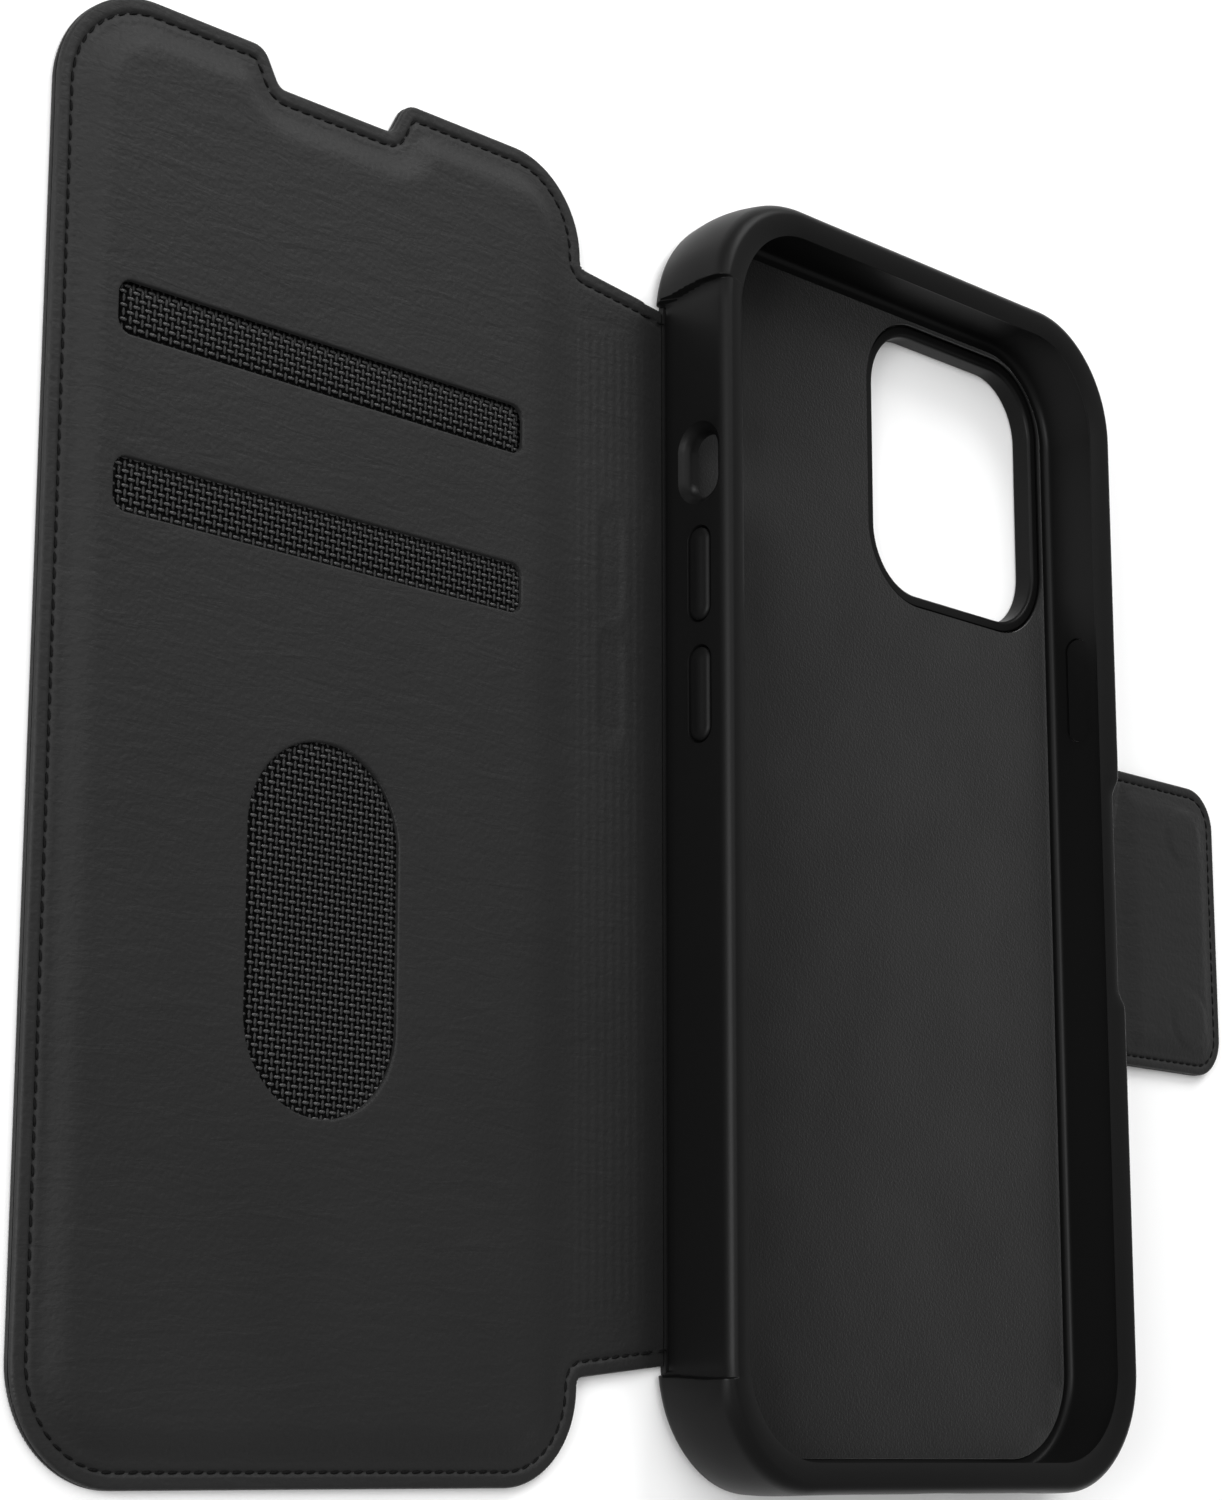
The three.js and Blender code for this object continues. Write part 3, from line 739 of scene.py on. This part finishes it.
def slot_solid(name, place, depths, along, half_long, half_wide, material, steps=14):
    """A solid with the outline of a slot in a wall, grown by a given amount at each depth."""
    rings = []
    for depth, grow in depths:
        long, wide = half_long + grow, half_wide + grow
        corners = rectangle(along - long, along + long, CONTROL_HEIGHT - wide, CONTROL_HEIGHT + wide,
                            min(wide, long) - 0.001)
        rings.append(place(rounded_outline(corners, steps=steps), depth))
    return lofted(name, rings, material)


class WALLETCASE_OT_tray_shell(bpy.types.Operator):
    """Moulded tray: capped corners, set-back button wall, strap scoop, bay and slots for the controls"""
    bl_idname = "wallet_case.tray_shell"
    bl_label = "Tray shell"

    def execute(self, context):
        plastic = finish_of("satin moulded polycarbonate", spark_textured_plastic, colours().tray)
        shell = lofted("tray_shell_moulding", tray_rings(), plastic, sharp=35)
        funnel = [(-44.0, 1.5), (-41.3, 1.5), (-40.95, 1.25), (-40.6, 0.75), (-40.2, 0.35), (-39.7, 0.1),
                  (-39.2, 0.0), (-37.9, 0.0)]
        slots = [("switch_slot", on_side_wall, funnel, 45.7, 4.2, 2.3)]
        for body, (_, y, half_long, side) in BUTTONS.items():
            wall = TRAY[0] - WALL_SET_BACK * (side < 0)
            depths = [(side * d, g) for d, g in (
                (44.0, 0.45), (wall + 0.2, 0.45), (wall - 0.1, 0.26), (wall - 0.45, 0.15), (37.9, 0.15))]
            slots.append((body + "_slot", on_side_wall, depths, y, half_long, BUTTON_HALF_WIDTH))
        port = [(-85.0, 0.9), (-83.2, 0.9), (-82.7, 0.45), (-82.2, 0.0), (-79.5, 0.0)]
        slots.append(("port_slot", on_end_wall, port, 0.0, 6.9, 3.2))
        slots += [("speaker_slot", on_end_wall, port, x, 5.5, 1.5) for x in (-18.0, 18.0)]
        cutters = [slot_solid(*slot, plastic) for slot in slots]
        camera = [at_height(rounded_outline(CAMERA_CUT, steps=16), z) for z in (0.0, 6.0)]
        cutters.append(lofted("camera_cut", camera, plastic))
        cut_away(shell, cutters)
        fit(shell, "tray", "moulded_tray", "tray_shell")

        corners = [(0.3, 0.02, 0.3), (1.8, 0.02, 0.3), (1.8, 3.1, 0.55), (0.3, 3.1, 0.2)]
        profile = rounded_outline(corners, steps=5)
        rings = [at_height(rounded_outline(CAMERA_CUT, inset, steps=20), z) for inset, z in profile]
        surround = lofted("camera_surround_ring", rings, plastic, closed=True)
        fit(surround, "tray", "moulded_tray", "camera_surround")
        return {"FINISHED"}


class WALLETCASE_OT_buttons(bpy.types.Operator):
    """Button covers on the two side walls, each with a crowned face"""
    bl_idname = "wallet_case.buttons"
    bl_label = "Button covers"

    def execute(self, context):
        rubber = finish_of("satin thermoplastic elastomer", spark_textured_plastic, colours().tray, 0.5)
        for body, (node, y, half_long, side) in BUTTONS.items():
            inner, face = sorted(abs(corner.x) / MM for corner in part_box(node))
            depths = [(inner, 0.0), (inner + 0.1, 0.0)]
            for t in np.radians(np.linspace(0, 90, 7)):
                depths.append((face - 0.6 + 0.45 * math.sin(t), -0.75 * (1 - math.cos(t))))
            depths += [(face - 0.06, -1.1), (face, -1.5)]
            depths = [(side * d, g) for d, g in depths]
            cover = slot_solid(
                body + "_cover", on_side_wall, depths, y, half_long, BUTTON_HALF_WIDTH, rubber, steps=12)
            fit(cover, body, "moulded_button", node)
        return {"FINISHED"}


class WALLETCASE_OT_bay_lining(bpy.types.Operator):
    """Microfibre glued to the floor of the phone bay, cut out round the camera opening"""
    bl_idname = "wallet_case.bay_lining"
    bl_label = "Bay lining"

    def execute(self, context):
        suede = finish_of("black napped microfibre", napped_microfibre, colours().lining)
        outline = rectangle(-37.0, 37.0, -78.6, 78.6, 12.0)
        grid = (np.arange(-36, 36.5, 3.0), np.arange(-77, 78, 3.0))
        lining = sheet("bay_lining_microfibre", outline, (-38.0, 38.0), (0.08, 0.2), [CAMERA_CUT],
                       (0.08, 0.2), [grid], level(3.45, 0.2), level(3.15), suede)
        fit(lining, "tray", "microfibre_lining", "bay_lining")
        return {"FINISHED"}


# ---------------------------------------------------------------- leather

EDGE_INSETS = (
    0.04, 0.1, 0.19, 0.3, 0.42, 0.7, 1.0, 1.17, 1.31, 1.45, 1.59, 1.72, 1.85, 1.98, 2.14, 2.4, 2.8, 3.3, 3.9,
    4.6, 5.5, 6.5, 7.4)
WINDOW_RIMS = (0.03, 0.07, 0.13, 0.21, 0.32, 0.6, 1.0, 1.6, 2.4)
INNER_THICKNESS = 0.6
LATCH_THICKNESS = 0.45
FIRST_RIB = -44.72


def cover_panel(points):
    """Height of the cover's raised inner panel. It dies away into the spine on the hinge side."""
    from_edge = smooth(2.7, 6.4, gap_to(points, PANEL))
    from_hinge = smooth(-57.0, -66.2, points[:, 0])
    return BORDER_TOP + (PANEL_TOP - BORDER_TOP) * from_edge * from_hinge


def inner_cover_top(points, edge):
    x = points[:, 0]
    z = cover_panel(points) - roll(edge, LEATHER_EDGE_ROLL)
    z -= groove(edge, stitch_inset(COVER))
    gap = np.min([gap_to(points, window) for window in WINDOWS], axis=0)
    z -= roll(gap, sizes().window_roll / MM) + 0.04 * np.exp(-gap) * (x < -60)
    for centre in RELIEF_CENTRES:
        z -= RELIEF_DEPTH * hollow(points, centre, RELIEF_HALF, 1.5)
    return z - 0.55 * smooth(-46.0, -41.2, x)


def inner_cover_under(points, edge):
    return np.maximum(MEETING_HEIGHT, cover_panel(points) - INNER_THICKNESS)


def rib_share(points, edge):
    """Where the spine's ribs are at full depth: clear of the stitching and of the button reliefs."""
    x = points[:, 0]
    along = smooth(-57.6, -56.6, x) * smooth(-43.6, -44.6, x)
    clear = np.clip(sum(hollow(points, c, (3.1, 8.2), 1.4) for c in RELIEF_CENTRES), 0, 1)
    return along * smooth(3.0, 6.0, edge) * (1 - clear)


def spine_rib_tree():
    """Presses evenly spaced grooves into a leather sheet, as deep as its rib_share attribute says."""
    tree, given, result = new_geometry_tree("Spine ribs", ("First rib", "Pitch", "Depth"), ("Leather",))
    first, pitch, depth, leather = given.outputs[1:5]
    place = add(tree, "ShaderNodeSeparateXYZ", {0: add(tree, "GeometryNodeInputPosition")})
    offset = add(tree, "ShaderNodeMath", {0: place, 1: first}, operation="SUBTRACT")
    turns = add(tree, "ShaderNodeMath", {0: offset, 1: pitch}, operation="DIVIDE")
    phase = add(tree, "ShaderNodeMath", {0: turns, 1: 2 * math.pi}, operation="MULTIPLY")
    wave = add(tree, "ShaderNodeMath", {0: phase}, operation="COSINE")
    sunk = add(tree, "ShaderNodeMath", {0: wave, 1: 0.5, 2: -0.5}, operation="MULTIPLY_ADD")
    deep = add(tree, "ShaderNodeMath", {0: sunk, 1: depth}, operation="MULTIPLY")
    share = add(tree, "GeometryNodeInputNamedAttribute", {"Name": "rib_share"}, data_type="FLOAT")
    pressed = add(tree, "ShaderNodeMath", {0: deep, 1: share}, operation="MULTIPLY")
    move = add(tree, "ShaderNodeCombineXYZ", {"Z": pressed})
    moved = add(tree, "GeometryNodeSetPosition", {"Geometry": given, "Offset": move})
    real = add(tree, "GeometryNodeRealizeInstances", {"Geometry": moved})
    painted = add(tree, "GeometryNodeSetMaterial", {"Geometry": real, "Material": leather})
    connect(tree, result, {0: painted})
    return tree


def latch_panel(points, edge):
    """Height of the latch tab's inner leather: a low panel with a soft dome over each magnet."""
    z = BORDER_TOP + 0.45 * smooth(1.9, 4.8, edge) * smooth(56.6, 60.5, points[:, 0])
    for centre in MAGNET_CENTRES:
        z += 0.16 * smooth(5.4, 3.4, np.hypot(*(points - centre).T))
    return z


def inner_latch_top(points, edge):
    z = latch_panel(points, edge) - roll(edge, LEATHER_EDGE_ROLL)
    for centre in MAGNET_CENTRES:
        z -= groove(np.hypot(*(points - centre).T), 4.6, 0.45, 0.12)
    return z - groove(edge, stitch_inset(LATCH))


def inner_latch_under(points, edge):
    return np.maximum(MEETING_HEIGHT, latch_panel(points, edge) - LATCH_THICKNESS)


class WALLETCASE_OT_inner_leather(bpy.types.Operator):
    """Inner leather of the cover, spine, strap and latch tab"""
    bl_idname = "wallet_case.inner_leather"
    bl_label = "Inner leather"

    def execute(self, context):
        leather = finish_of(
            "fine-grain calf, inside", grain_leather, colours().inner_leather, colours().border_leather)
        ribs = spine_rib_tree()
        cover_grid = (np.arange(-134, -60, 1.6), np.arange(-79, 79.1, 1.6))
        spine_grid = (np.arange(-60, -41, 0.24), np.arange(-67.5, 67.6, 1.1))
        for name, span, body, grids, holes, nodes in (
                ("inner_cover_leather", (-136.5, SPINE_SPLIT), ("spine", "cover"), [cover_grid, spine_grid],
                 WINDOWS, ("cover_inner_leather", "spine_inner_leather")),
                ("inner_spine_root", (SPINE_SPLIT, -41.0), ("tray", "spine"), [spine_grid], [], ())):
            piece = sheet(name, COVER, span, EDGE_INSETS, holes, WINDOW_RIMS, grids,
                          inner_cover_top, inner_cover_under, leather)
            points = np.array([v.co.xy for v in piece.data.vertices]) / MM
            share = rib_share(points, gap_to(points, COVER))
            share[len(points) // 2:] = 0
            mark(piece.data, "rib_share", share)
            bake(piece, ribs, {
                "First rib": FIRST_RIB * MM, "Pitch": sizes().rib_pitch, "Depth": sizes().rib_depth,
                "Leather": leather})
            fit(piece, body, "inner_leather", *nodes)

        grid = (np.arange(41, 81, 0.9), np.arange(-21, 21.1, 0.9))
        for name, span, body, node in (
                ("inner_strap_leather", (41.0, STRAP_SPLIT), ("tray", "strap"), "strap_inner_leather"),
                ("inner_latch_leather", (STRAP_SPLIT, 81.5), ("strap", "latch"), "latch_inner_leather")):
            piece = sheet(name, LATCH, span, EDGE_INSETS, [], (0,), [grid],
                          inner_latch_top, inner_latch_under, leather)
            fit(piece, body, "inner_leather", node)
        return {"FINISHED"}


class WALLETCASE_OT_outer_leather(bpy.types.Operator):
    """Outer leather of the cover, spine, tray back, strap and latch tab"""
    bl_idname = "wallet_case.outer_leather"
    bl_label = "Outer leather"

    def execute(self, context):
        leather = finish_of(
            "fine-grain calf, outside", grain_leather, colours().outer_leather, colours().outer_leather)
        hinge_grid = (np.arange(-60, -40.9, 0.5), np.arange(-67.5, 67.6, 2.5))
        cover_grid = (np.arange(-134, -60, 3.0), np.arange(-79, 79.1, 3.0))
        strap_grid = (np.arange(41, 81, 0.6), np.arange(-21, 21.1, 1.5))
        for name, outline, span, body, grids, node in (
                ("outer_cover_leather", COVER, (-136.5, SPINE_SPLIT), ("spine", "cover"),
                 [cover_grid, hinge_grid], "cover_outer_leather"),
                ("outer_spine_root", COVER, (SPINE_SPLIT, -40.6), ("tray", "spine"), [hinge_grid],
                 "spine_outer_leather"),
                ("outer_strap_leather", LATCH, (40.6, STRAP_SPLIT), ("tray", "strap"), [strap_grid],
                 "strap_outer_leather"),
                ("outer_latch_leather", LATCH, (STRAP_SPLIT, 81.5), ("strap", "latch"), [strap_grid],
                 "latch_outer_leather")):
            line = stitch_inset(outline)
            piece = sheet(name, outline, span, EDGE_INSETS[:16], [], (0,), grids, level(0.75, 0.12),
                          lambda points, edge: roll(edge, OUTER_EDGE_ROLL) + groove(edge, line), leather)
            fit(piece, body, "outer_leather", node)
        back_grid = (np.arange(-39, 39.1, 3.0), np.arange(-80, 80.1, 3.0))
        back = sheet("back_leather_panel", BACK, (-41.0, 41.0), (0.1, 0.3, 0.5), [CAMERA_CUT], (0.1, 0.3),
                     [back_grid], level(1.0), lambda points, edge: roll(edge, 0.3), leather)
        fit(back, "tray", "outer_leather", "back_leather")
        return {"FINISHED"}


# ---------------------------------------------------------------- stitching

def thread_beads(tree, points, rotation, long, wide, high):
    """A short bead of thread on each point, turned and sized, as real geometry."""
    bead = add(tree, "GeometryNodeMeshUVSphere", {"Segments": 8, "Rings": 5, "Radius": 0.5})
    scale = add(tree, "ShaderNodeCombineXYZ", {"X": long, "Y": wide, "Z": high})
    beads = add(tree, "GeometryNodeInstanceOnPoints", {
        "Points": points, "Instance": bead, "Rotation": rotation, "Scale": scale})
    return add(tree, "GeometryNodeRealizeInstances", {"Geometry": beads})


def stitch_tree():
    """Lays short beads of thread, end to end and slightly slanted, along a line."""
    tree, given, result = new_geometry_tree("Stitch line", ("Pitch", "Length", "Width", "Slant"), ("Thread",))
    pitch, long, wide, slant, thread = given.outputs[1:6]
    curve = add(tree, "GeometryNodeMeshToCurve", {"Mesh": given})
    spaced = add(tree, "GeometryNodeResampleCurve", {"Curve": curve, "Length": pitch}, mode="LENGTH")
    tangent = add(tree, "GeometryNodeInputTangent")
    facing = add(tree, "FunctionNodeAlignRotationToVector", {"Vector": tangent}, axis="X")
    lean = add(tree, "ShaderNodeCombineXYZ", {"Z": slant})
    slanted = add(tree, "FunctionNodeRotateRotation", {
        "Rotation": facing, "Rotate By": lean}, rotation_space="LOCAL")
    real = thread_beads(tree, spaced, slanted, long, wide, wide)
    painted = add(tree, "GeometryNodeSetMaterial", {"Geometry": real, "Material": thread})
    connect(tree, result, {0: painted})
    return tree


def open_runs(line, low, high):
    """The parts of a closed line with x between low and high, each in order."""
    inside = (line[:, 0] > low) & (line[:, 0] < high)
    start = np.argmin(inside)
    line, inside = np.roll(line, -start, axis=0), np.roll(inside, -start)
    cuts = np.flatnonzero(np.diff(inside)) + 1
    return [run for run, kept in zip(np.split(line, cuts), np.split(inside, cuts)) if kept[0]]


class WALLETCASE_OT_stitching(bpy.types.Operator):
    """Edge stitching on both faces of the cover, spine, strap and latch tab"""
    bl_idname = "wallet_case.stitching"
    bl_label = "Edge stitching"

    def execute(self, context):
        thread = finish_of("bonded nylon sewing thread", twisted_thread, colours().thread, 0.75, 0.22, 0.12)
        tree = stitch_tree()
        heights = (BORDER_TOP - GROOVE_DEPTH + 0.08, GROOVE_DEPTH - 0.01)
        for name, outline, span, body, nodes in (
                ("cover_stitches", COVER, (-137.0, SPINE_SPLIT - 0.3), ("spine", "cover"),
                 ("cover_stitching",)),
                ("spine_root_stitches", COVER, (SPINE_SPLIT - 0.1, -41.4), ("tray", "spine"), ()),
                ("strap_stitches", LATCH, (42.0, STRAP_SPLIT - 0.1), ("tray", "strap"), ()),
                ("latch_stitches", LATCH, (57.2, 82.0), ("strap", "latch"), ("latch_stitching",))):
            line = filled_in(rounded_outline(outline, stitch_inset(outline), step=0.2), 0.3)
            vertices, edges = [], []
            for height in heights:
                for run in open_runs(line, *span):
                    first = len(vertices)
                    vertices += [(x, y, height) for x, y in run]
                    edges += [(i, i + 1) for i in range(first, len(vertices) - 1)]
            piece = from_points(name, vertices, edges, [])
            bake(piece, tree, {
                "Pitch": sizes().stitch_pitch, "Length": sizes().stitch_length, "Width": sizes().thread_width,
                "Slant": math.radians(7), "Thread": thread})
            fit(piece, body, "sewing_thread", *nodes)
        return {"FINISHED"}


# ---------------------------------------------------------------- pocket cloth

def weave_tree():
    """Puts a short bead of yarn on each crossing of a plain weave. Every other crossing shows the
    weft, which runs across, and the ones between show the warp, turned a quarter turn. Both are
    one black yarn: the weft's lighter material is a painted highlight, the warp's darker one painted shade."""
    tree, given, result = new_geometry_tree(
        "Plain weave", ("Pitch", "Length", "Width", "Crown"), ("Weft", "Warp"))
    pitch, long, wide, crown, weft, warp = given.outputs[1:7]
    place = add(tree, "ShaderNodeSeparateXYZ", {0: add(tree, "GeometryNodeInputPosition")})
    counts = []
    for axis in (0, 1):
        cells = add(tree, "ShaderNodeMath", {0: place.outputs[axis], 1: pitch}, operation="DIVIDE")
        counts.append(add(tree, "ShaderNodeMath", {0: cells}, operation="ROUND"))
    total = add(tree, "ShaderNodeMath", dict(enumerate(counts)), operation="ADD")
    parity = add(tree, "ShaderNodeMath", {0: total, 1: 2.0}, operation="FLOORED_MODULO")
    is_warp = add(tree, "FunctionNodeCompare", {0: parity, 1: 0.5},
                  data_type="FLOAT", operation="GREATER_THAN")
    marked = add(tree, "GeometryNodeStoreNamedAttribute", {
        "Geometry": given, "Name": "is_warp", "Value": is_warp}, data_type="BOOLEAN", domain="POINT")
    quarter = add(tree, "ShaderNodeMath", {0: is_warp, 1: math.pi / 2}, operation="MULTIPLY")
    turn = add(tree, "ShaderNodeCombineXYZ", {"Z": quarter})
    real = thread_beads(tree, marked, turn, long, wide, crown)
    # Crossings across take the weft material, lighter by a painted highlight, and those along take the warp
    # material, darker by painted shade.
    across = add(tree, "GeometryNodeSetMaterial", {"Geometry": real, "Material": weft})
    is_along = add(tree, "GeometryNodeInputNamedAttribute", {"Name": "is_warp"}, data_type="BOOLEAN")
    along = add(tree, "GeometryNodeSetMaterial", {
        "Geometry": across, "Selection": is_along, "Material": warp})
    connect(tree, result, {0: along})
    return tree


def crossings(low, high, pitch):
    """Whole numbers of pitches that cover a window and a little of the cloth beyond each edge."""
    margin = 1.2
    return np.arange(math.floor((low - margin) / pitch), math.ceil((high + margin) / pitch) + 1) * pitch


class WALLETCASE_OT_pocket_cloth(bpy.types.Operator):
    """Woven cloth of the card pockets, with real crossings where the windows show it"""
    bl_idname = "wallet_case.pocket_cloth"
    bl_label = "Pocket cloth"

    def execute(self, context):
        # The three yarn materials are one black nylon: a painted highlight on the weft, painted shade on the
        # warp and on the ground between the threads.
        weft = finish_of("nylon weft yarn", twisted_thread, colours().weft, 0.4, 0.16, 0.4)
        warp = finish_of("nylon warp yarn", twisted_thread, colours().warp, 0.5, 0.16, 0.25)
        ground = finish_of("nylon ground weave", twisted_thread, colours().ground, 0.7, 0.16, 0.06)
        pitch = sizes().weave_pitch / MM
        crown_height = PANEL_TOP - 0.4
        tree = weave_tree()
        for name, node, upper_edge, height, windows in (
                ("pocket_lining_cloth", "pocket_lining", 54.0, 1.55, [UPPER_WINDOW]),
                ("pocket_divider_cloth", "pocket_divider", 38.0, 1.95, [LOWER_WINDOW, THUMB_WINDOW])):
            grid = (np.arange(-129, -66, 6.0), np.arange(-47, upper_edge, 6.0))
            # The base sheet takes the ground material, near black: painted shade in the gaps between the
            # beads.
            base = sheet(name, rectangle(-130.3, -65.9, -48.0, upper_edge, 2.0), (-131.0, -65.0), (0.3,),
                         [], (0,), [grid], level(height - 0.06), level(height - 0.2), ground)
            spots = []
            for window in windows:
                columns, rows = (
                    crossings(low, high, pitch) for low, high in zip(window[0][:2], window[2][:2]))
                flat = np.array([(x, y) for x in columns for y in rows])
                line = filled_in(rounded_outline(window), 0.5)
                inside = distance_to_line(flat, line) * is_inside(flat, line)
                lift = (crown_height - height) * smooth(0.2, 1.4, inside)
                spots += np.column_stack([flat, height - 0.07 + lift]).tolist()
            weave = from_points(name + "_crossings", spots, [], [])
            bake(weave, tree, {
                "Pitch": pitch * MM, "Length": 1.3 * pitch * MM, "Width": 0.52 * pitch * MM,
                "Crown": 0.36 * MM, "Weft": weft, "Warp": warp})
            fit(base, "cover", "woven_pocket", node)
            fit(weave, "cover", "woven_pocket")
        return {"FINISHED"}


class WALLETCASE_OT_hidden_parts(bpy.types.Operator):
    """Finishes of the board, strike plates, latch core and magnets inside the leather"""
    bl_idname = "wallet_case.hidden_parts"
    bl_label = "Board, plates and magnets"

    def execute(self, context):
        board = finish_of("pressed fibre board", pressed_board, colours().board)
        steel = finish_of("cold-rolled steel", rolled_metal, srgb("#b9b9b9"), 0.35)
        nickel = finish_of("nickel plate", rolled_metal, srgb("#c4bfb6"), 0.2)
        finishes = {
            "cover_board": board, "latch_core": board, "strike_plate_upper": steel,
            "strike_plate_lower": steel, "magnet_upper": nickel, "magnet_lower": nickel,
        }
        for node, finish in finishes.items():
            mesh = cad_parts[node].data
            mesh.materials.clear()
            mesh.materials.append(finish)
        return {"FINISHED"}


# ---------------------------------------------------------------- stage

class WALLETCASE_OT_stage(bpy.types.Operator):
    """Plain paper floor, soft boxes and the camera"""
    bl_idname = "wallet_case.stage"
    bl_label = "Stage"

    def execute(self, context):
        scene = context.scene
        paper = finish_of("white studio paper", studio_paper, srgb("#fcfcfc"))
        half = 2500.0
        corners = [(-half, -half, -0.05), (half, -half, -0.05), (half, half, -0.05), (-half, half, -0.05)]
        floor = placed("studio_floor", corners, [(0, 1, 2, 3)], paper)

        world = bpy.data.worlds.new("soft studio")
        scene.world = world
        world.use_nodes = True
        background = world.node_tree.nodes["Background"]
        background.inputs["Color"].default_value = (1, 1, 1, 1)
        background.inputs["Strength"].default_value = 0.42

        lights = [
            ("overhead softbox", (-0.5, 0.35, 1.05), (0.0, 0.0, 0.0), 1.2, 7.0),
            ("far softbox", (0.3, 0.95, 0.75), (-0.03, 0.05, 0.0), 0.6, 7.6),
            ("left softbox", (-0.95, 0.0, 0.35), (-0.03, 0.0, 0.0), 0.5, 8.0),
        ]
        for name, place, target, size, power in lights:
            lamp = bpy.data.lights.new(name, "AREA")
            lamp.shape = "SQUARE"
            lamp.size = size
            lamp.energy = power
            holder = linked(name, lamp)
            holder.location = place
            holder.rotation_euler = (Vector(target) - Vector(place)).to_track_quat("-Z", "Y").to_euler()

        lens = bpy.data.cameras.new("camera")
        lens.lens = 76.39
        lens.sensor_width = 36.0
        lens.shift_x = -0.0158
        lens.shift_y = 0.0567
        lens.clip_start = 0.01
        camera = linked("camera", lens)
        camera.location = (-0.3251, -0.0795, 0.27185)
        camera.rotation_euler = [math.radians(a) for a in (11.238, -45.866, -0.033)]
        scene.camera = camera
        scene.view_settings.view_transform = "Standard"
        return {"FINISHED"}


# ---------------------------------------------------------------- add-on

OPERATORS = [
    WALLETCASE_OT_tray_shell, WALLETCASE_OT_buttons, WALLETCASE_OT_bay_lining, WALLETCASE_OT_outer_leather,
    WALLETCASE_OT_inner_leather, WALLETCASE_OT_pocket_cloth, WALLETCASE_OT_stitching,
    WALLETCASE_OT_hidden_parts, WALLETCASE_OT_stage,
]


class WALLETCASE_PT_panel(bpy.types.Panel):
    """Lists the pieces of the case, their sizes and their colours"""
    bl_idname = "WALLETCASE_PT_panel"
    bl_label = "Phone Wallet Case"
    bl_space_type = "VIEW_3D"
    bl_region_type = "UI"
    bl_category = "Wallet Case"

    def draw(self, context):
        for operator in OPERATORS:
            self.layout.operator(operator.bl_idname)
        for group in (context.scene.wallet_case_sizes, context.scene.wallet_case_colours):
            for name in group.__annotations__:
                self.layout.prop(group, name)


CLASSES = [WalletCaseColours, WalletCaseSizes, *OPERATORS, WALLETCASE_PT_panel]


def register():
    for each in CLASSES:
        bpy.utils.register_class(each)
    bpy.types.Scene.wallet_case_colours = bpy.props.PointerProperty(type=WalletCaseColours)
    bpy.types.Scene.wallet_case_sizes = bpy.props.PointerProperty(type=WalletCaseSizes)


def unregister():
    del bpy.types.Scene.wallet_case_sizes
    del bpy.types.Scene.wallet_case_colours
    for each in reversed(CLASSES):
        bpy.utils.unregister_class(each)


def main():
    register()
    for operator in OPERATORS:
        group, name = operator.bl_idname.split(".")
        getattr(getattr(bpy.ops, group), name)()


if __name__ == "__main__":
    main()
